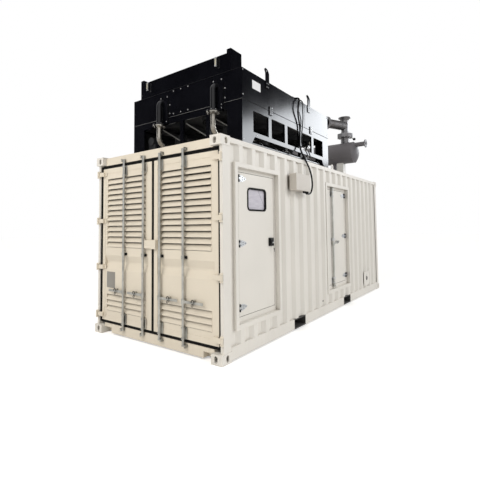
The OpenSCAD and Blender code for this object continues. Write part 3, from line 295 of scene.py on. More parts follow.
def bracket_finish(sprayed_colour):
    """Zinc brackets, with the middle lock cover between the leaves sprayed like the doors."""
    cover_half = 0.1392
    n = Nodes("bracket_finish")
    split = n.new("SeparateXYZ")
    n.link(n.where, split.inputs[0])
    across = n.new("Math", operation="ABSOLUTE")
    n.link(split.outputs["Y"], across.inputs[0])
    cover = n.new("Math", operation="LESS_THAN")
    cover.inputs[1].default_value = cover_half
    n.link(across.outputs[0], cover.inputs[0])
    zinc = n.ramp(n.noise(9.0, 6.0), srgb(0.62, 0.62, 0.60), srgb(0.82, 0.82, 0.80), (0.32, 0.66))
    sprayed = n.ramp(n.noise(1.7, 5.0), tinted(sprayed_colour, 0.94), sprayed_colour)
    n.colour(n.mix(cover.outputs[0], zinc, sprayed))
    bare = n.new("Math", operation="SUBTRACT")
    bare.inputs[0].default_value = 1.0
    n.link(cover.outputs[0], bare.inputs[1])
    n.link(bare.outputs[0], n.shader.inputs["Metallic"])
    n.rough(n.noise(26.0, 5.0), 0.32, 0.5)
    n.bump(n.noise(200.0, 3.0), 0.08, 0.001)
    return n.material


cream = srgb(0.900, 0.888, 0.862)
warm_cream = srgb(0.895, 0.862, 0.800)
MATERIALS = {
    "container_paint": paint("cream_coating", cream, peel=0.07),
    "door_paint": paint("warm_cream_coating", warm_cream, peel=0.07),
    "inner_floor": chequer_plate(),
    "zinc": metal("zinc_plate", srgb(0.80, 0.80, 0.78), (0.30, 0.48), scale=24.0, dull=0.3),
    "bright_steel": metal("bright_steel", srgb(0.87, 0.88, 0.89), (0.42, 0.54), scale=90.0, dull=0.30),
    "rubber": rubber("door_rubber", srgb(0.035, 0.035, 0.035), (0.65, 0.80)),
    "window_glass": window_glass(),
    "latch_black": rubber("black_moulding", srgb(0.06, 0.06, 0.065), (0.22, 0.38)),
    "radiator_black": gloss_black(),
    "core_metal": finned_core(),
    "fan_grey": paint("fan_coating", srgb(0.20, 0.205, 0.215), (0.4, 0.6), tint=0.25),
    "silencer_dark": paint("heat_coating", srgb(0.455, 0.447, 0.463), (0.42, 0.60), tint=0.30, peel=0.35),
    "pipe_steel": metal("exhaust_steel", srgb(0.56, 0.556, 0.562), (0.30, 0.50), scale=40.0,
                        heat=srgb(0.46, 0.446, 0.442)),
    "riser_paint": paint("light_grey_coating", srgb(0.93, 0.93, 0.92), (0.3, 0.5)),
    "cable_black": rubber("cable_sheath", srgb(0.035, 0.035, 0.04), (0.5, 0.65)),
}
coolant_steel = metal("coolant_steel", srgb(0.74, 0.72, 0.68), (0.16, 0.34), scale=70.0, dull=0.5)
dark_steel = metal("dark_steel", srgb(0.26, 0.26, 0.27), (0.35, 0.55), scale=50.0, dull=0.4)
bolt_steel = metal("bolt_steel", srgb(0.90, 0.90, 0.90), (0.2, 0.34), scale=80.0, dull=0.1)
hinge_bolt = metal("hinge_bolt", srgb(0.60, 0.61, 0.62), (0.2, 0.34), scale=80.0, dull=0.3)
white_plate = paint("white_plate", srgb(0.93, 0.93, 0.94), (0.3, 0.4), tint=0.02)
grey_plate = metal("grey_plate", srgb(0.66, 0.66, 0.65), (0.4, 0.6), scale=120.0, dull=0.2)
plate_grey = paint("data_plate_grey", srgb(0.59, 0.58, 0.56), (0.4, 0.6), tint=0.2)
gauge_tube = paint("gauge_tube", srgb(0.80, 0.78, 0.70), (0.12, 0.2), tint=0.1)
OWN_FINISH = {
    "coolant_pipes": coolant_steel,
    "junction_box": paint("box_coating", srgb(0.80, 0.778, 0.745), tint=0.08),
    # Fork pockets: their insides are painted dark as the shade inside the tunnels.
    "fork_pockets": paint("pocket_painted_shade", srgb(0.33, 0.325, 0.32), (0.6, 0.8), tint=0.3),
    # Fixed side hinge brackets in dark steel: their own dark colour, and painted shade of the gap beside
    # them.
    "side_door_hinge_brackets": dark_steel,
    "cargo_door_left_brackets": bracket_finish(warm_cream),
    "cargo_door_right_brackets": bracket_finish(warm_cream),
}
NODE_SLOT = {part["node"]: part["material_slot"] for part in frame["record"]["subparts"]}
for node_name, node in frame["nodes"].items():
    node.data.materials.clear()
    node.data.materials.append(OWN_FINISH.get(node_name, MATERIALS[NODE_SLOT[node_name]]))


# Camera: at the photograph's place, in degrees and metres
camera_data = bpy.data.cameras.new("camera")
camera_data.sensor_width = 36.0
camera_data.lens = 27.062
camera_data.shift_x = -0.0063
camera_data.shift_y = -0.0693
camera = bpy.data.objects.new("camera", camera_data)
heading, pitch, roll = math.radians(-54.022), math.radians(3.147), math.radians(-0.630)
camera.matrix_world = (Matrix.Translation((-6.1389, -3.7820, 1.5322)) @ Matrix.Rotation(heading, 4, "Z")
                       @ Matrix.Rotation(math.pi / 2 + pitch, 4, "X") @ Matrix.Rotation(roll, 4, "Z"))
bpy.context.scene.collection.objects.link(camera)
bpy.context.scene.camera = camera


# Mesh building, in millimetres
def circle(centre, u, v, radius, count, start=0.0):
    """Points round a circle in the plane of u and v, from an angle in degrees."""
    angles = [math.radians(start) + 2 * math.pi * k / count for k in range(count)]
    return [Vector(centre) + radius * (math.cos(a) * u + math.sin(a) * v) for a in angles]


def ring(centre, axis, radius, count):
    """Points of a circle round an axis."""
    axis = Vector(axis).normalized()
    side = axis.orthogonal().normalized()
    return circle(centre, side, axis.cross(side), radius, count)


class Shape:
    """Collects closed forms into one mesh."""

    def __init__(self):
        self.bm = bmesh.new()

    def add(self, points, faces):
        verts = [self.bm.verts.new(Vector(p) * MM) for p in points]
        for face in faces:
            self.bm.faces.new([verts[i] for i in face])
        return verts

    def box(self, low, high, bevel=0.0):
        (x0, y0, z0), (x1, y1, z1) = low, high
        points = [(x, y, z) for z in (z0, z1) for y in (y0, y1) for x in (x0, x1)]
        faces = [(0, 2, 3, 1), (4, 5, 7, 6), (0, 1, 5, 4), (2, 6, 7, 3), (0, 4, 6, 2), (1, 3, 7, 5)]
        verts = self.add(points, faces)
        if bevel:
            edges = {e for v in verts for e in v.link_edges}
            bmesh.ops.bevel(self.bm, geom=list(edges), offset=bevel * MM, segments=2, affect="EDGES",
                            profile=0.5)

    def loft(self, rings, closed=False):
        """Skin over rings of equal size, with flat ends unless the rings close on themselves."""
        sides = len(rings[0])
        count = len(rings)
        faces = []
        for i in range(count if closed else count - 1):
            a, b = i * sides, (i + 1) % count * sides
            faces += [(a + k, a + (k + 1) % sides, b + (k + 1) % sides, b + k) for k in range(sides)]
        if not closed:
            faces.append(tuple(reversed(range(sides))))
            faces.append(tuple((count - 1) * sides + k for k in range(sides)))
        self.add([p for points in rings for p in points], faces)

    def turned(self, base, axis, profile, sides=16):
        """A solid of revolution: profile is a list of (distance along the axis, radius)."""
        axis = Vector(axis).normalized()
        self.loft([ring(Vector(base) + axis * d, axis, r, sides) for d, r in profile])

    def tube(self, path, radius, sides=10, closed=False):
        """A round bar swept along a path of points."""
        path = [Vector(p) for p in path]
        count = len(path)
        rings = []
        side = None
        for i, p in enumerate(path):
            ahead = path[(i + 1) % count] if closed or i < count - 1 else p
            behind = path[i - 1] if closed or i else p
            direction = (ahead - behind).normalized()
            if side is None:
                side = direction.orthogonal()
            side = (side - direction * side.dot(direction)).normalized()
            rings.append(circle(p, side, direction.cross(side), radius, sides))
        self.loft(rings, closed)

    def bolt(self, at, axis, size=8.0, head=5.5):
        """A hexagon head on a washer."""
        self.turned(at, axis, [(0, size * 1.15), (1.5, size * 1.15)], 12)
        self.turned(Vector(at) + axis * 1.4, axis,
                    [(0, size * 0.82), (head * 0.8, size * 0.82), (head, size * 0.62)], 6)

    def bolt_all(self, places, axis, size, head):
        for at in places:
            self.bolt(at, axis, size, head)

    def done(self, name, material, body="container", smooth=False):
        """The piece, on its body and with its slot."""
        bmesh.ops.recalc_face_normals(self.bm, faces=self.bm.faces)
        mesh = bpy.data.meshes.new(name)
        self.bm.to_mesh(mesh)
        self.bm.free()
        mesh.materials.append(material)
        piece = bpy.data.objects.new(name, mesh)
        bpy.context.scene.collection.objects.link(piece)
        if smooth:
            mesh.polygons.foreach_set("use_smooth", [True] * len(mesh.polygons))
            mesh.set_sharp_from_angle(angle=math.radians(38))
        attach(piece, body)
        return piece


def smooth_path(points, steps):
    """Points of a smooth curve through a route."""
    out = []
    for i in range(len(points) - 1):
        p0, p1, p2, p3 = (Vector(points[min(max(k, 0), len(points) - 1)]) for k in range(i - 1, i + 3))
        for s in range(steps):
            t = s / steps
            out.append(0.5 * (2 * p1 + (p2 - p0) * t + (2 * p0 - 5 * p1 + 4 * p2 - p3) * t * t
                              + (3 * p1 - p0 - 3 * p2 + p3) * t ** 3))
    out.append(Vector(points[-1]))
    return out


# Cables, from the casing's rim to the junction box and to the sensor on the roof header, in metres
SUPPLY_ROUTE = [
    (-0.905, -1.060, 3.625), (-0.905, -1.088, 3.625), (-0.907, -1.112, 3.620), (-0.911, -1.132, 3.607),
    (-0.918, -1.145, 3.586), (-0.930, -1.151, 3.555), (-0.948, -1.152, 3.510), (-0.962, -1.150, 3.455),
    (-0.964, -1.144, 3.400), (-0.950, -1.136, 3.345), (-0.924, -1.129, 3.290), (-0.896, -1.124, 3.235),
    (-0.876, -1.122, 3.175), (-0.868, -1.122, 3.110), (-0.869, -1.122, 3.040), (-0.875, -1.122, 2.970),
    (-0.886, -1.125, 2.900), (-0.904, -1.137, 2.830), (-0.924, -1.158, 2.760), (-0.936, -1.188, 2.695),
    (-0.934, -1.216, 2.635), (-0.912, -1.236, 2.575), (-0.866, -1.245, 2.520), (-0.815, -1.250, 2.462),
    (-0.777, -1.255, 2.395), (-0.756, -1.260, 2.325), (-0.752, -1.266, 2.255), (-0.764, -1.273, 2.190),
    (-0.792, -1.279, 2.130), (-0.830, -1.284, 2.082), (-0.872, -1.288, 2.052), (-0.912, -1.288, 2.040),
    (-0.950, -1.288, 2.040)]
SENSOR_ROUTE = [
    (-0.800, -1.060, 3.620), (-0.800, -1.090, 3.620), (-0.799, -1.114, 3.613), (-0.797, -1.132, 3.596),
    (-0.795, -1.143, 3.570), (-0.794, -1.147, 3.535), (-0.794, -1.146, 3.495), (-0.786, -1.140, 3.452),
    (-0.768, -1.132, 3.405), (-0.752, -1.125, 3.358), (-0.745, -1.120, 3.306), (-0.748, -1.117, 3.254),
    (-0.758, -1.117, 3.202), (-0.770, -1.117, 3.150), (-0.782, -1.117, 3.098), (-0.795, -1.117, 3.046),
    (-0.806, -1.117, 2.994), (-0.812, -1.117, 2.942), (-0.808, -1.117, 2.895), (-0.786, -1.117, 2.856),
    (-0.744, -1.117, 2.834), (-0.694, -1.118, 2.830), (-0.642, -1.119, 2.826), (-0.592, -1.120, 2.810),
    (-0.548, -1.121, 2.783), (-0.516, -1.122, 2.745), (-0.504, -1.123, 2.704), (-0.512, -1.125, 2.680),
    (-0.532, -1.126, 2.663), (-0.562, -1.127, 2.656), (-0.612, -1.127, 2.656), (-0.660, -1.127, 2.656)]
SUPPLY_D = 0.027
SENSOR_D = 0.018


def boot(name, start, towards, diameter, length):
    """A tapered strain relief with grooves, round the first stretch of a cable."""
    grooves = 6
    base = Vector(start) / MM
    axis = Vector(towards) / MM - base
    pitch_mm = length / grooves
    profile = []
    for k in range(grooves):
        d = pitch_mm * k
        r = diameter / MM / 2 + 6.0 * (1 - k / grooves)
        profile += [(d, r), (d + pitch_mm * 0.6, r), (d + pitch_mm * 0.62, r - 1.2),
                    (d + pitch_mm * 0.98, r - 1.2)]
    shape = Shape()
    shape.turned(base, axis, profile, 20)
    return shape.done(name, MATERIALS["latch_black"], smooth=True)


def cable(node, route, diameter):
    """A cable in place of its CAD node."""
    curve = bpy.data.curves.new(node + "_run", "CURVE")
    curve.dimensions = "3D"
    curve.bevel_depth = diameter / 2
    curve.bevel_resolution = 5
    curve.use_fill_caps = True
    line = smooth_path(route, 5)
    spline = curve.splines.new("POLY")
    spline.points.add(len(line) - 1)
    for point, place in zip(spline.points, line):
        point.co = (*place, 1.0)
    curve.materials.append(MATERIALS["cable_black"])
    piece = bpy.data.objects.new(node + "_run", curve)
    bpy.context.scene.collection.objects.link(piece)
    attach(piece, "container")
    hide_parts(node)


supply_reliefs = [boot("supply_boot_top", SUPPLY_ROUTE[0], SUPPLY_ROUTE[1], SUPPLY_D, 30),
                  boot("supply_boot_box", SUPPLY_ROUTE[-1], SUPPLY_ROUTE[-2], SUPPLY_D, 40)]
sensor_reliefs = [boot("sensor_boot_top", SENSOR_ROUTE[0], SENSOR_ROUTE[1], SENSOR_D, 28),
                  boot("sensor_boot_head", SENSOR_ROUTE[-1], SENSOR_ROUTE[-2], SENSOR_D, 40)]
cable("fan_supply_cable", SUPPLY_ROUTE, SUPPLY_D)
cable("fan_sensor_cable", SENSOR_ROUTE, SENSOR_D)


# Door end: what stands on the lock bars, the leaves and the posts
FACE_X = -2969.0
LEAF_EDGE_Y = 1130
POST_FACE_Y = fit_hi.y - 49
CARGO_HINGE_Z = (265, 960, 1638, 2337)
BARS = {"left_outer": 590, "left_inner": 164, "right_inner": -164, "right_outer": -590}


def bar_clamp(name, y, door):
    clamp = Shape()
    clamp.box((FACE_X - 22, y - 48, 1148), (FACE_X - 2, y - 26, 1182), 3)
    clamp.bolt_all([(FACE_X - 22, y - 37, z) for z in (1157, 1173)], -X, 6.5, 6)
    clamp.done(name + "_bar_clamp", MATERIALS["latch_black"], door)


def guide_loops(name, y, door):
    """Bent rods beside the bar's lower and upper guides."""
    x, side = FACE_X - 12, y - 46
    loops = Shape()
    for z0, z1 in ((192, 322), (2283, 2411)):
        loops.tube([(x, y - 30, z1), (x, side + 6, z1), (x, side, z1 - 8), (x, side, z0 + 8),
                    (x, side + 6, z0), (x, y - 30, z0)], 4.0, 8)
    loops.done(name + "_guide_loops", MATERIALS["zinc"], door, smooth=True)


def handle_hasp(name, y, door):
    """A hook over the bar's handle, with a ring under it."""
    toward = 1 if y > 0 else -1
    hook_y, hook_z, hook_r = y + toward * 172, 650, 22
    ring_y, ring_z, ring_r = hook_y - toward * 4, 605, 15
    arc = [math.radians(-30 + 24 * k) for k in range(11)]
    hasp = Shape()
    hasp.tube([(FACE_X - 46, hook_y + toward * hook_r * math.cos(a), hook_z + hook_r * math.sin(a))
               for a in arc], 4.5, 8)
    hasp.tube(circle((FACE_X - 48, ring_y, ring_z), Y, Z, ring_r, 14), 3.5, 8, closed=True)
    hasp.tube([(FACE_X - 46, ring_y, 632), (FACE_X - 48, ring_y, 618)], 4.0, 8)
    hasp.done(name + "_handle_hasp", dark_steel, door, smooth=True)


def data_plate():
    x, y0, y1, z0, z1 = FACE_X + 4, 826, 1025, 662, 893
    inset = 12
    plate = Shape()
    plate.box((x - 2.5, y0, z0), (x, y1, z1), 0.8)
    plate.done("bare_data_plate", plate_grey, "left_cargo_door")
    rivets = Shape()
    for y in (y0 + inset, y1 - inset):
        for z in (z0 + inset, z1 - inset):
            rivets.turned((x - 2.4, y, z), -X, [(0, 4.5), (1.5, 4.2), (2.4, 2.4)], 12)
    rivets.done("data_plate_rivets", bolt_steel, "left_cargo_door", smooth=True)


def hinge_pads():
    """Rounded pads where the cargo hinge blades are welded to the leaves."""
    for sign, side in ((1, "left"), (-1, "right")):
        y0, y1 = sorted((sign * (LEAF_EDGE_Y - 92), sign * (LEAF_EDGE_Y - 48)))
        pads = Shape()
        for z in CARGO_HINGE_Z:
            pads.box((FACE_X - 5.5, y0, z - 26), (FACE_X, y1, z + 26), 2.5)
            for dz in (-14, 14):
                pads.turned((FACE_X - 5.4, (y0 + y1) / 2, z + dz), -X, [(0, 7), (2.0, 6.4), (3.2, 3.2)], 12)
        pads.done("hinge_pads_" + side, MATERIALS["door_paint"], side + "_cargo_door")


def post_gasket_and_shade_strips():
    """Black rubber strips on the posts' inner faces, beside the leaves: they stand for the gasket there and
    paint the shade in the gaps.
    """
    seals = Shape()
    for sign in (-1, 1):
        y0, y1 = sorted((sign * POST_FACE_Y, sign * (POST_FACE_Y - 2.5)))
        seals.box((FACE_X - 5, y0, gasket_lo.z + 6), (FACE_X + 33, y1, gasket_hi.z - 6), 0.8)
    seals.done("post_gasket_and_shade_strips", MATERIALS["rubber"])


for bar_name, bar_y in BARS.items():
    bar_door = "left_cargo_door" if bar_y > 0 else "right_cargo_door"
    bar_clamp(bar_name, bar_y, bar_door)
    guide_loops(bar_name, bar_y, bar_door)
    handle_hasp(bar_name, bar_y, bar_door)
data_plate()
hinge_pads()
post_gasket_and_shade_strips()


# Personnel doors
SIDE_HINGE_Z = (555, 1325, 2125)
FRONT_PIN_X = front_leaf_lo.x - 3
REAR_PIN_X = rear_leaf_hi.x + 3
REAR_BAR_X = 270.0


def strap_bolts():
    """Bolts of the side door hinges, on the straps and on the fixed brackets."""
    for x, sign, body in ((FRONT_PIN_X, 1, "front_personnel_door"),
                          (REAR_PIN_X, -1, "rear_personnel_door")):
        moving = Shape()
        fixed = Shape()
        for z in SIDE_HINGE_Z:
            moving.bolt_all([(x + sign * dx, leaf_y - 5, z + dz) for dx, dz in
                          ((38, 22), (38, -22), (84, 13), (84, -13), (128, 0))], -Y, 6.0, 4.5)
            fixed.bolt_all([(x - sign * 48, leaf_y - 5, z + dz) for dz in (-24, 24)], -Y, 6.0, 4.5)
        moving.done(body + "_strap_bolts", hinge_bolt, body)
        fixed.done(body + "_bracket_bolts", hinge_bolt)


def lock_details():
    """Paddle, cylinder and hanging key of the front door's latch."""
    body = "front_personnel_door"
    x0, x1, z0, z1 = latch_lo.x, latch_hi.x, latch_lo.z, latch_hi.z
    y = latch_lo.y
    key_x = x1 - 34
    paddle = Shape()
    paddle.box((x0 + 8, y - 4, z0 + 8), (x1 - 8, y, z1 - 8), 2.0)
    paddle.box((x0 + 18, y - 12, z0 + 30), (x0 + 44, y - 4, z1 - 22), 2.5)
    paddle.done("latch_paddle", MATERIALS["latch_black"], body)
    cylinder = Shape()
    cylinder.turned((key_x, y - 4, z0 + 44), -Y, [(0, 12), (5, 12), (6.5, 10)], 20)
    cylinder.box((key_x - 1.6, y - 12, z0 + 38), (key_x + 1.6, y - 10.4, z0 + 50))
    cylinder.done("latch_cylinder", bolt_steel, body, smooth=True)
    hang = [(key_x, y - 12, z0 + 42), (key_x + 4, y - 17, z0 + 24), (key_x + 5, y - 18, z0 - 6),
            (key_x + 6, y - 17, z0 - 30)]
    key = Shape()
    key.tube(smooth_path(hang, 4), 1.6, 6)
    key.turned((key_x + 6, y - 20, z0 - 42), Y, [(0, 12), (3, 12)], 16)
    key.box((key_x + 8, y - 19.5, z0 - 82), (key_x + 15, y - 17.5, z0 - 48))
    key.done("hanging_key", dark_steel, body)


def rear_bar_fittings():
    """Bolts of the rear door bar's guides, and the catch for its handle."""
    handle_zs = (1263, 1287)
    guide_zs = (468, 492, 548, 572, 2088, 2112, 2160, 2182)
    bolts = Shape()
    for half, size, head, heights in ((34, 6.5, 6, handle_zs), (32, 5.5, 5, guide_zs)):
        places = [(REAR_BAR_X + dx, leaf_y - 6, z) for z in heights for dx in (-half, half)]
        bolts.bolt_all(places, -Y, size, head)
    bolts.done("rear_guide_bolts", dark_steel, "rear_personnel_door")
    x, y, top, low = REAR_BAR_X + 190, leaf_y, 1238, 1200
    catch = Shape()
    catch.tube([(x, y, top), (x, y - 44, top), (x, y - 50, top - 6), (x, y - 50, low + 6), (x, y - 44, low),
                (x, y, low)], 4.5, 8)
    catch.done("rear_handle_catch", dark_steel, "rear_personnel_door", smooth=True)


def leaf_gap_seals_and_shade():
    """Dark seals in the gaps round the side leaves, held by the frames; they also paint the shade in those
    gaps.
    """
    outer, inner = 5.4, 1.2
    y0, y1 = leaf_y + 5, leaf_y + 17
    for name, low, high in (("front", front_leaf_lo, front_leaf_hi),
                            ("rear", rear_leaf_lo, rear_leaf_hi)):
        seal = Shape()
        for x0, x1 in ((low.x - outer, low.x - inner), (high.x + inner, high.x + outer)):
            seal.box((x0, y0, low.z - outer), (x1, y1, high.z + outer))
        for z0, z1 in ((low.z - outer, low.z - inner), (high.z + inner, high.z + outer)):
            seal.box((low.x - inner, y0, z0), (high.x + inner, y1, z1))
        seal.done(name + "_seal_and_gap_shade", MATERIALS["rubber"])


def hinge_bushes_and_pin_shade():
    """Black bushes at the ends of the side door hinge pins, which also paint the shade beside the pins."""
    sleeves = Shape()
    for x in (FRONT_PIN_X, REAR_PIN_X):
        for z in SIDE_HINGE_Z:
            for z0 in (z - 46, z + 40):
                sleeves.turned((x, leaf_y - 12, z0), Z, [(0, 9), (1, 11), (5, 11), (6, 9)], 16)
    sleeves.done("hinge_pin_bushes_and_shade", MATERIALS["latch_black"], smooth=True)


strap_bolts()
lock_details()
rear_bar_fittings()
leaf_gap_seals_and_shade()
hinge_bushes_and_pin_shade()


# Small fittings on the near wall
def wall_fittings():
    """Bolts and grommet of the cable entry plate, and the earthing lug."""
    x, y, z = (entry_lo.x + entry_hi.x) / 2, entry_lo.y, (entry_lo.z + entry_hi.z) / 2
    bolts = Shape()
    bolts.bolt_all([(x + dx, y, z + dz) for dx in (-150, 150) for dz in (-110, 110)], -Y, 7, 5)
    bolts.bolt_all([(x, y, z + dz) for dz in (-78, 78)], -Y, 9, 6)
    bolts.done("entry_plate_bolts", bolt_steel)
    profile = ((30, -5), (42, -5), (44, -1), (35, 0), (35, 5), (30, 5))
    circles = [circle((x, y + dy, z), X, Z, r, 40) for r, dy in profile]
    grommet = Shape()
    grommet.loft(list(zip(*circles)), closed=True)
    grommet.done("entry_grommet", MATERIALS["rubber"], smooth=True)
    earth = Shape()
    earth.box((-334, wall_y - 6, 246), (-298, wall_y, 262), 1.5)
    earth.bolt((-316, wall_y - 6, 254), -Y, 8, 7)
    earth.done("earthing_lug", dark_steel)


wall_fittings()


# Radiator outside
HEADER_X = rad_x0 - 80
HEADER_YS = (396, -675)


def front_bolts():
    """Bright bolts on the front panel: two rows, and round each header cover."""
    rows = [(y, z) for y in (-130, 20, 172) for z in (3234, 3578)]
    covers = [(304, 3518), (448, 3518), (251, 3383), (251, 3248), (433, 3198), (283, 3198),
              (-615, 3524), (-758, 3524), (-818, 3389), (-818, 3255)]
    necks = [(-775, 3167), (-652, 3175), (-620, 3128), (-774, 3122), (300, 3128), (440, 3140)]
    front = Shape()
    front.bolt_all([(rad_x0, y, z) for y, z in rows + covers], -X, 9.5, 7)
    front.bolt_all([(rad_x0 - 24, y, z) for y, z in necks], -X, 8.5, 6)
    front.done("front_panel_bolts", bolt_steel)


def side_bolts():
    """Bolts on both sides: the casing's corners, its clamps and lifting lugs, and the frame's rivets."""
    length = rad_x1 - rad_x0
    side = Shape()
    for sign in (-1, 1):
        out = sign * Y
        side.bolt_all([(x, sign * rad_y, z) for z in (rad_top - 24, seam_z + 60)
                    for x in (rad_x0 + 20, rad_x1 - 20)], out, 9, 6)
        side.bolt_all([(rad_x0 + at + dx, sign * (rad_y + 14), seam_z + dz) for at in (693, length - 744)
                    for dx in (-22, 22) for dz in (-44, -20, 20, 44)], out, 4.5, 4)
        side.bolt_all([(rad_x0 + at + dx, sign * (rad_y + 12), rad_top + dz) for at in (610, length - 816)
                    for dz in (-88, -40) for dx in (-22, 22)], out, 7, 5)
        for dx, dz in ((21, 84), (335, 186), (27, 40), (90, 40)):
            side.turned((rad_x0 + dx, sign * rad_y, roof_z + dz), out, [(0, 6), (3, 5), (4, 2)], 10)
    side.done("side_panel_bolts", bolt_steel)


def header_flanges():
    """Bolts through the header flanges, and the weld beads under them."""
    bolts = Shape()
    beads = Shape()
    for y in HEADER_YS:
        for at in circle((HEADER_X, y, 3086), X, Y, 74, 8, 22.5):
            bolts.bolt(at, Z, 8.5, 8)
            bolts.bolt(at - Z * 36, -Z, 8.5, 8)
        beads.tube(circle((HEADER_X, y, 3046), X, Y, 41, 24), 4.5, 6, closed=True)
    bolts.done("header_flange_bolts", bolt_steel)
    beads.done("elbow_weld_beads", coolant_steel, smooth=True)


def casing_seams():
    """The lip over the front seam, the casing's top edge, and the dark seams of its sides."""
    lip = Shape()
    for y0, y1 in ((-1098, -800), (-548, 262), (536, 1098)):
        lip.box((rad_x0 - 7, y0, seam_z - 3), (rad_x0, y1, seam_z + 1), 1.0)
    lip.done("front_seam_lip", grey_plate)
    edge = Shape()
    edge.box((rad_x0 - 5, -rad_y + 2, rad_top - 3), (rad_x0, rad_y - 2, rad_top + 1), 1.0)
    edge.done("casing_top_edge", dark_steel)
    dark = Shape()
    for sign in (-1, 1):
        y0, y1 = sorted((sign * rad_y, sign * (rad_y + 1.5)))
        dark.box((rad_x0 + 2, y0, seam_z - 4), (rad_x1 - 2, y1, seam_z + 4))
        for x in (-1781.5, -640):
            dark.box((x, y0, seam_z + 4), (x + 3, y1, rad_top - 2))
    dark.done("side_seams", MATERIALS["rubber"])


def casing_plate():
    x0, x1, z0, z1 = -2205, -2004, 3390, 3507
    inset = 10
    plate = Shape()
    plate.box((x0, -rad_y - 2, z0), (x1, -rad_y, z1), 0.8)
    plate.done("bare_white_plate", white_plate)
    rivets = Shape()
    for x in (x0 + inset, x1 - inset):
        for z in (z0 + inset, z1 - inset):
            rivets.turned((x, -rad_y - 2, z), -Y, [(0, 4), (1.4, 3.4), (2, 1.6)], 10)
    rivets.done("white_plate_rivets", bolt_steel, smooth=True)


def top_guard():
    """Welded wire guard over the core, inside the rim."""
    rim, step, wire = 64, 50, 2.2
    x0, x1 = rad_x0 + rim, rad_x1 - rim
    y0, y1 = -rad_y + rim, rad_y - rim
    z = rad_top - 2
    count_x = int((x1 - x0) / step)
    count_y = int((y1 - y0) / step)
    guard = Shape()
    for i in range(count_x + 1):
        x = x0 + (x1 - x0) * i / count_x
        guard.tube([(x, y0, z), (x, y1, z)], wire, 5)
    for i in range(count_y + 1):
        y = y0 + (y1 - y0) * i / count_y
        guard.tube([(x0, y, z + 3.4), (x1, y, z + 3.4)], wire, 5)
    guard.done("core_wire_guard", MATERIALS["radiator_black"], smooth=True)


def level_gauges():
    """Gauges on the expansion tank: a pale tube between two end fittings, in a frame."""
    x = rad_x0 - 18
    z0, z1 = rad_top + 105, rad_top + 230
    frames = Shape()
    tubes = Shape()
    ends = Shape()
    for y in (-681, 740):
        for y0, y1 in ((y - 19, y - 11), (y + 11, y + 19)):
            frames.box((x - 16, y0, z0 + 8), (x - 1, y1, z1 - 8), 2.5)
        for z in (z0 + 8, z1 - 8):
            ends.turned((x - 9, y, z - 12), Z, [(0, 12), (3, 19), (21, 19), (24, 12)], 6)
            ends.turned((x - 9, y, z), -X, [(0, 10), (12, 10), (14, 7)], 12)
        tubes.tube([(x - 9, y, z0 + 18), (x - 9, y, z1 - 18)], 10, 14)
    frames.done("level_gauge_frames", grey_plate)
    tubes.done("level_gauge_tubes", gauge_tube, smooth=True)
    ends.done("level_gauge_ends", bolt_steel)


def filler_cap():
    cap = Shape()
    cap.turned((rad_x0 + 120, 0, rad_top + 279), Z, [(0, 46), (6, 50), (9, 50)], 24)
    cap.done("filler_cap_rim", dark_steel, smooth=True)


front_bolts()
side_bolts()
header_flanges()
casing_seams()
casing_plate()
top_guard()
level_gauges()
filler_cap()


# Radiator inside: what shows through the openings
ROOF_PIPE_Y = -1000


def inner_braces():
    pairs = [((-2380, 478, 3052), (-2000, 60, 2700)), ((-2380, 60, 3060), (-2000, 478, 2690)),
             ((-2380, -34, 3060), (-2000, -478, 2700)), ((-2380, -560, 3050), (-2000, -990, 2720)),
             ((-2380, 560, 3050), (-2000, 990, 2720))]
    braces = Shape()
    for pair in pairs:
        braces.tube(pair, 9, 8)
    braces.done("inner_braces", grey_plate, smooth=True)


def fan_guards():
    """Round wire guards under the six fans."""
    bay = (rad_x1 - rad_x0 - 60) / 3
    wire, inner, outer = 2.5, 96, 402
    lift = Z * 5
    guards = Shape()
    for i in range(3):
        for sign in (-1, 1):
            centre = Vector((rad_x0 + 30 + (i + 0.5) * bay, sign * 512, seam_z - 114))
            for radius in (130, 190, 250, 310, 370, outer):
                guards.tube(ring(centre, Z, radius, 40), wire, 5, closed=True)
            for spoke in circle((0, 0, 0), X, Y, 1, 8, 22.5):
                guards.tube([centre + spoke * inner + lift, centre + spoke * outer + lift], wire, 5)
    guards.done("fan_guards", MATERIALS["fan_grey"], smooth=True)


def small_pipes():
    """Pipes that rise from the roof header, each a route and a radius."""
    y = ROOF_PIPE_Y
    routes = [
        ([(-1102, y, 2713), (-1102, y, 2760), (-1060, y, 2800), (-980, y, 2815), (-700, y + 10, 2818),
          (-560, y + 15, 2800), (-520, y + 15, 2750), (-520, y + 10, 2712)], 14),
        ([(-407, y, 2713), (-407, y, 2830), (-380, y + 10, 2880), (-300, y + 40, 2930),
          (-199, y + 60, 2960), (-120, y + 70, 3000), (-120, y + 70, 3068)], 17),
        ([(-292, y, 2713), (-292, y, 2770), (-260, y + 20, 2800), (-180, y + 40, 2800),
          (-120, y + 50, 2770), (-110, y + 50, 2591)], 12)]
    pipes = Shape()
    for route, radius in routes:
        pipes.tube(smooth_path(route, 6), radius, 12)
    pipes.done("small_coolant_pipes", coolant_steel, smooth=True)


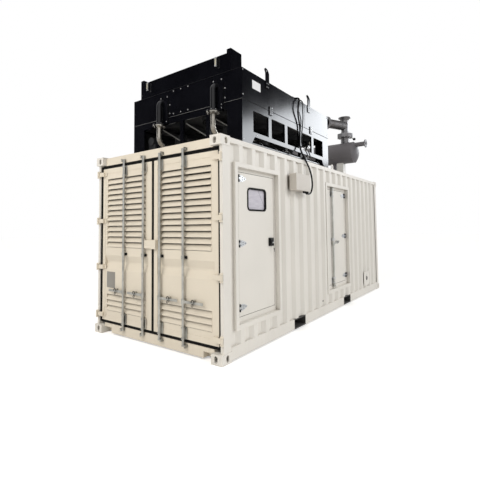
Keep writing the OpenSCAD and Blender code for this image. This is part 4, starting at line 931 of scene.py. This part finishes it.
def pipe_fittings():
    """Unions on the small pipes, a valve with its handle, and the bands of the roof header."""
    y = ROOF_PIPE_Y
    union = [(0, 26), (8, 26), (10, 20), (30, 20), (32, 24), (44, 24)]
    fittings = Shape()
    for at in ((-1102, y, 2718), (-520, y + 10, 2716), (-407, y, 2720), (-292, y, 2718)):
        fittings.turned(at, Z, union, 6)
    fittings.turned((-407, y, 2800), -Y, [(0, 18), (26, 18), (28, 12), (44, 12)], 12)
    fittings.turned((-199, y + 60, 2945), Z, [(0, 27), (34, 27)], 6)
    fittings.done("pipe_fittings", bolt_steel)
    handle = Shape()
    handle.box((-440, y - 48, 2796), (-350, y - 42, 2806), 2)
    handle.done("valve_handle", MATERIALS["latch_black"])
    bands = Shape()
    for x in (-1900, -1500, -1100, -700, -300, 0):
        bands.tube(circle((x, y, roof_z + 77), Y, Z, 59, 28), 3.5, 6, closed=True)
    bands.done("header_clamp_bands", bolt_steel, smooth=True)


def far_baffle():
    """A dark sheet inside the far side frame, behind its windows."""
    columns = 7
    y1 = rad_y - 30.5
    y0 = y1 - 2.5
    sheet = Shape()
    sheet.box((rad_x0 + 225, y0, roof_z + 175), (rad_x1 - 225, y1, seam_z - 60))
    for k in range(columns):
        x = rad_x0 + 300 + (rad_x1 - rad_x0 - 600) * k / (columns - 1)
        for z in (roof_z + 196, seam_z - 80):
            sheet.turned((x, y0, z), -Y, [(0, 7), (3, 6), (4, 3)], 10)
    sheet.done("far_side_baffle", MATERIALS["fan_grey"])


inner_braces()
fan_guards()
small_pipes()
pipe_fittings()
far_baffle()


# Exhaust
SIL_X = (shell_lo.x + shell_hi.x) / 2
SIL_R = (shell_hi.x - shell_lo.x) / 2
SIL_Z = roof_z + 605
SIL_END = 1074
STACK_Y = -870
BRANCH_AT = Vector((SIL_X, STACK_Y, roof_z + 1240))
BRANCH = Vector((math.cos(math.radians(155)), math.sin(math.radians(155)), 0))


def silencer_details():
    """Weld seams round and along the shell, and the bolts of its outlet and its saddles."""
    seams = Shape()
    for y in (-SIL_END, -358, 358, SIL_END):
        seams.tube(circle((SIL_X, y, SIL_Z), X, Z, SIL_R + 1, 64), 4.0, 6, closed=True)
    rise = math.radians(38)
    x, z = SIL_X - (SIL_R + 0.5) * math.cos(rise), SIL_Z + (SIL_R + 0.5) * math.sin(rise)
    seams.tube([(x, -SIL_END, z), (x, SIL_END, z)], 3.0, 6)
    seams.done("silencer_weld_seams", MATERIALS["silencer_dark"], smooth=True)
    outlet = Shape()
    outlet.bolt_all(circle((SIL_X, shell_lo.y + 17, SIL_Z + 166), X, Z, 74, 6, 30), Y, 7.5, 6.0)
    outlet.done("outlet_flange_bolts", bolt_steel)
    feet = Shape()
    feet.bolt_all([(SIL_X + dx, y + dy, roof_z + 12) for y in (-620, 620)
                for dx in (-98, 98) for dy in (-22, 22)], Z, 9, 9)
    feet.done("saddle_foot_bolts", dark_steel)


def riser_ribs():
    """Ribs round the square light riser."""
    x, y = (riser_lo.x + riser_hi.x) / 2, (riser_lo.y + riser_hi.y) / 2
    z0, z1 = roof_z + 30, SIL_Z - SIL_R - 16
    count, half = 11, 75
    corner_bead = [(0, 2), (3, 6), (9, 6), (12, 2)]
    ribs = Shape()
    for k in range(count):
        z = z0 + (z1 - z0) * k / (count - 1)
        corners = [(x - half, y - half, z), (x + half, y - half, z), (x + half, y + half, z),
                   (x - half, y + half, z)]
        for pair in zip(corners, corners[1:] + corners[:1]):
            ribs.tube(pair, 6, 8)
        for corner in corners:
            ribs.turned(Vector(corner) - Z * 6, Z, corner_bead, 8)
    ribs.done("riser_ribs", MATERIALS["riser_paint"], smooth=True)


def tee_details():
    """Bolts of the valve's and the branch's flanges, and the tee's weld seams."""
    bolts = Shape()
    for at in circle((SIL_X, STACK_Y, roof_z + 1048), X, Y, 145, 12, 15):
        bolts.bolt(at, Z, 8.5, 9)
        bolts.bolt(at - Z * 84, -Z, 8.5, 9)
    bolts.done("valve_flange_bolts", bolt_steel)
    seams = Shape()
    for z, radius in ((850, 96), (1100, 81)):
        seams.tube(ring((SIL_X, STACK_Y, roof_z + z), Z, radius, 36), 3.5, 6, closed=True)
    for along in (150, 524):
        seams.tube(ring(BRANCH_AT + BRANCH * along, BRANCH, 101, 40), 3.5, 6, closed=True)
    seams.done("tee_weld_seams", MATERIALS["pipe_steel"], smooth=True)
    flange = Shape()
    flange.bolt_all(circle(BRANCH_AT + BRANCH * 540, BRANCH.cross(Z), Z, 124, 8), -BRANCH, 8.5, 8)
    flange.done("branch_flange_bolts", dark_steel)


def valve_lever():
    """The shut-off valve's shaft and lever with its knob, and the small switch box under it."""
    start = Vector((SIL_X + 178, STACK_Y - 40, roof_z + 1006))
    bend = start + Vector((46, -60, -26))
    tip = start + Vector((50, -96, -44))
    lever = Shape()
    lever.tube([start - X * 30, start + X * 34], 11, 10)
    lever.tube([start + X * 28, bend, tip], 7, 8)
    lever.done("valve_lever", dark_steel, smooth=True)
    knob = Shape()
    knob.turned(tip - Z * 22, Z, [(-8, 10), (-2, 24), (14, 33), (30, 33), (46, 24), (52, 10)], 18)
    knob.done("valve_lever_knob", MATERIALS["latch_black"], smooth=True)
    switch = Shape()
    switch.box((SIL_X + 88, STACK_Y - 66, roof_z + 884), (SIL_X + 128, STACK_Y - 22, roof_z + 946), 3)
    switch.done("valve_switch", MATERIALS["container_paint"])


silencer_details()
riser_ribs()
tee_details()
valve_lever()


# Weld beads where the corner posts meet the fittings
def frame_welds():
    fitting_h, length = 118, 110
    beads = Shape()
    for sx, x in ((-1, 45 - fit_hi.x), (1, fit_hi.x - 20)):
        for y in (7 - fit_hi.y, fit_hi.y - 7):
            for z in (fitting_h, fit_hi.z - fitting_h):
                beads.tube([(x, y, z), (x - sx * length, y, z)], 3.0, 6)
    beads.done("post_weld_beads", MATERIALS["container_paint"], smooth=True)


frame_welds()


# Stage: pale floor, and a world that shows white and lights softly
def backdrop_mix(tree, lit, plain):
    """plain for camera, glossy and transmitted rays, lit for the rest."""
    path = tree.nodes.new("ShaderNodeLightPath")
    total = path.outputs["Is Camera Ray"]
    for ray in ("Is Glossy Ray", "Is Transmission Ray"):
        add = tree.nodes.new("ShaderNodeMath")
        add.operation = "ADD"
        add.use_clamp = True
        tree.links.new(total, add.inputs[0])
        tree.links.new(path.outputs[ray], add.inputs[1])
        total = add.outputs[0]
    mix = tree.nodes.new("ShaderNodeMixShader")
    tree.links.new(total, mix.inputs[0])
    tree.links.new(lit, mix.inputs[1])
    tree.links.new(plain, mix.inputs[2])
    return mix.outputs[0]


def make_world(strength):
    world = bpy.data.worlds.new("world")
    bpy.context.scene.world = world
    world.use_nodes = True
    tree = world.node_tree
    soft = tree.nodes["Background"]
    soft.inputs["Color"].default_value = (1.0, 0.985, 0.96, 1)
    soft.inputs["Strength"].default_value = strength
    white = tree.nodes.new("ShaderNodeBackground")
    white.inputs["Color"].default_value = WHITE
    white.inputs["Strength"].default_value = 1.0
    tree.links.new(backdrop_mix(tree, soft.outputs[0], white.outputs[0]),
                   tree.nodes["World Output"].inputs["Surface"])


def stage_plane(name, corners, colour, roughness, specular):
    """A flat plane with a plain material."""
    mesh = bpy.data.meshes.new(name)
    mesh.from_pydata(corners, [], [(0, 1, 2, 3)])
    material = bpy.data.materials.new(name)
    material.use_nodes = True
    shader = material.node_tree.nodes["Principled BSDF"]
    shader.inputs["Base Color"].default_value = colour
    shader.inputs["Roughness"].default_value = roughness
    shader.inputs["Specular IOR Level"].default_value = specular
    mesh.materials.append(material)
    plane = bpy.data.objects.new(name, mesh)
    bpy.context.scene.collection.objects.link(plane)
    return plane


def make_floor(size, lift):
    """Pale floor, lifted to white for the camera where no shadow lies."""
    corners = [(-size, -size, 0), (size, -size, 0), (size, size, 0), (-size, size, 0)]
    floor = stage_plane("floor", corners, (0.86, 0.86, 0.86, 1), 0.9, 0.1)
    tree = floor.active_material.node_tree
    shader = tree.nodes["Principled BSDF"]
    shader.inputs["Emission Color"].default_value = WHITE
    path = tree.nodes.new("ShaderNodeLightPath")
    scale = tree.nodes.new("ShaderNodeMath")
    scale.operation = "MULTIPLY"
    scale.inputs[1].default_value = lift
    tree.links.new(path.outputs["Is Camera Ray"], scale.inputs[0])
    tree.links.new(scale.outputs[0], shader.inputs["Emission Strength"])


def dark_card(name, corners):
    """A dark card that only reflections see."""
    card = stage_plane(name, corners, (0.01, 0.01, 0.012, 1), 1.0, 0.0)
    card.visible_camera = False
    card.visible_shadow = False
    card.visible_diffuse = False


def add_lamp(light, at, facing):
    lamp = bpy.data.objects.new(light.name, light)
    lamp.location = at
    lamp.rotation_euler = facing.to_track_quat("-Z", "Y").to_euler()
    bpy.context.scene.collection.objects.link(lamp)
    return lamp


def area_light(name, at, target, width, height, radiance, colour):
    light = bpy.data.lights.new(name, "AREA")
    light.shape = "RECTANGLE"
    light.size = width
    light.size_y = height
    light.energy = radiance * math.pi * width * height
    light.color = colour
    return add_lamp(light, at, Vector(target) - Vector(at))


def side_sun(towards, strength, colour):
    """Broad soft light on the near wall, from beyond its far end."""
    light = bpy.data.lights.new("side_sun", "SUN")
    light.energy = strength
    light.angle = math.radians(28)
    light.color = colour
    return add_lamp(light, (0, 0, 0), -Vector(towards))


make_world(0.52)
make_floor(60.0, 0.42)
panel = area_light("side_panel_light", (14.0, -11.0, 7.1), (0.0, -11.0, 7.1), 17.0, 3.8, 6.8,
                   (0.92, 0.955, 1.0))
panel.visible_diffuse = False
sun = side_sun((0.50, -0.80, 0.42), 1.18, (1.0, 0.99, 0.98))
sun.visible_glossy = False
front = area_light("front_light", (-10.5, 1.0, 9.0), (-3.0, 0.0, 1.5), 9.0, 7.0, 3.5, (1.0, 0.945, 0.87))
front.visible_glossy = False
dark_card("upper_card", [(18.0, -34, 9.9), (18.0, 4, 9.9), (18.0, 4, 34), (18.0, -34, 34)])
dark_card("front_card", [(-24, 4, 7.0), (-24, 46, 7.0), (-24, 46, 34), (-24, 4, 34)])
bpy.context.scene.view_settings.view_transform = "Standard"
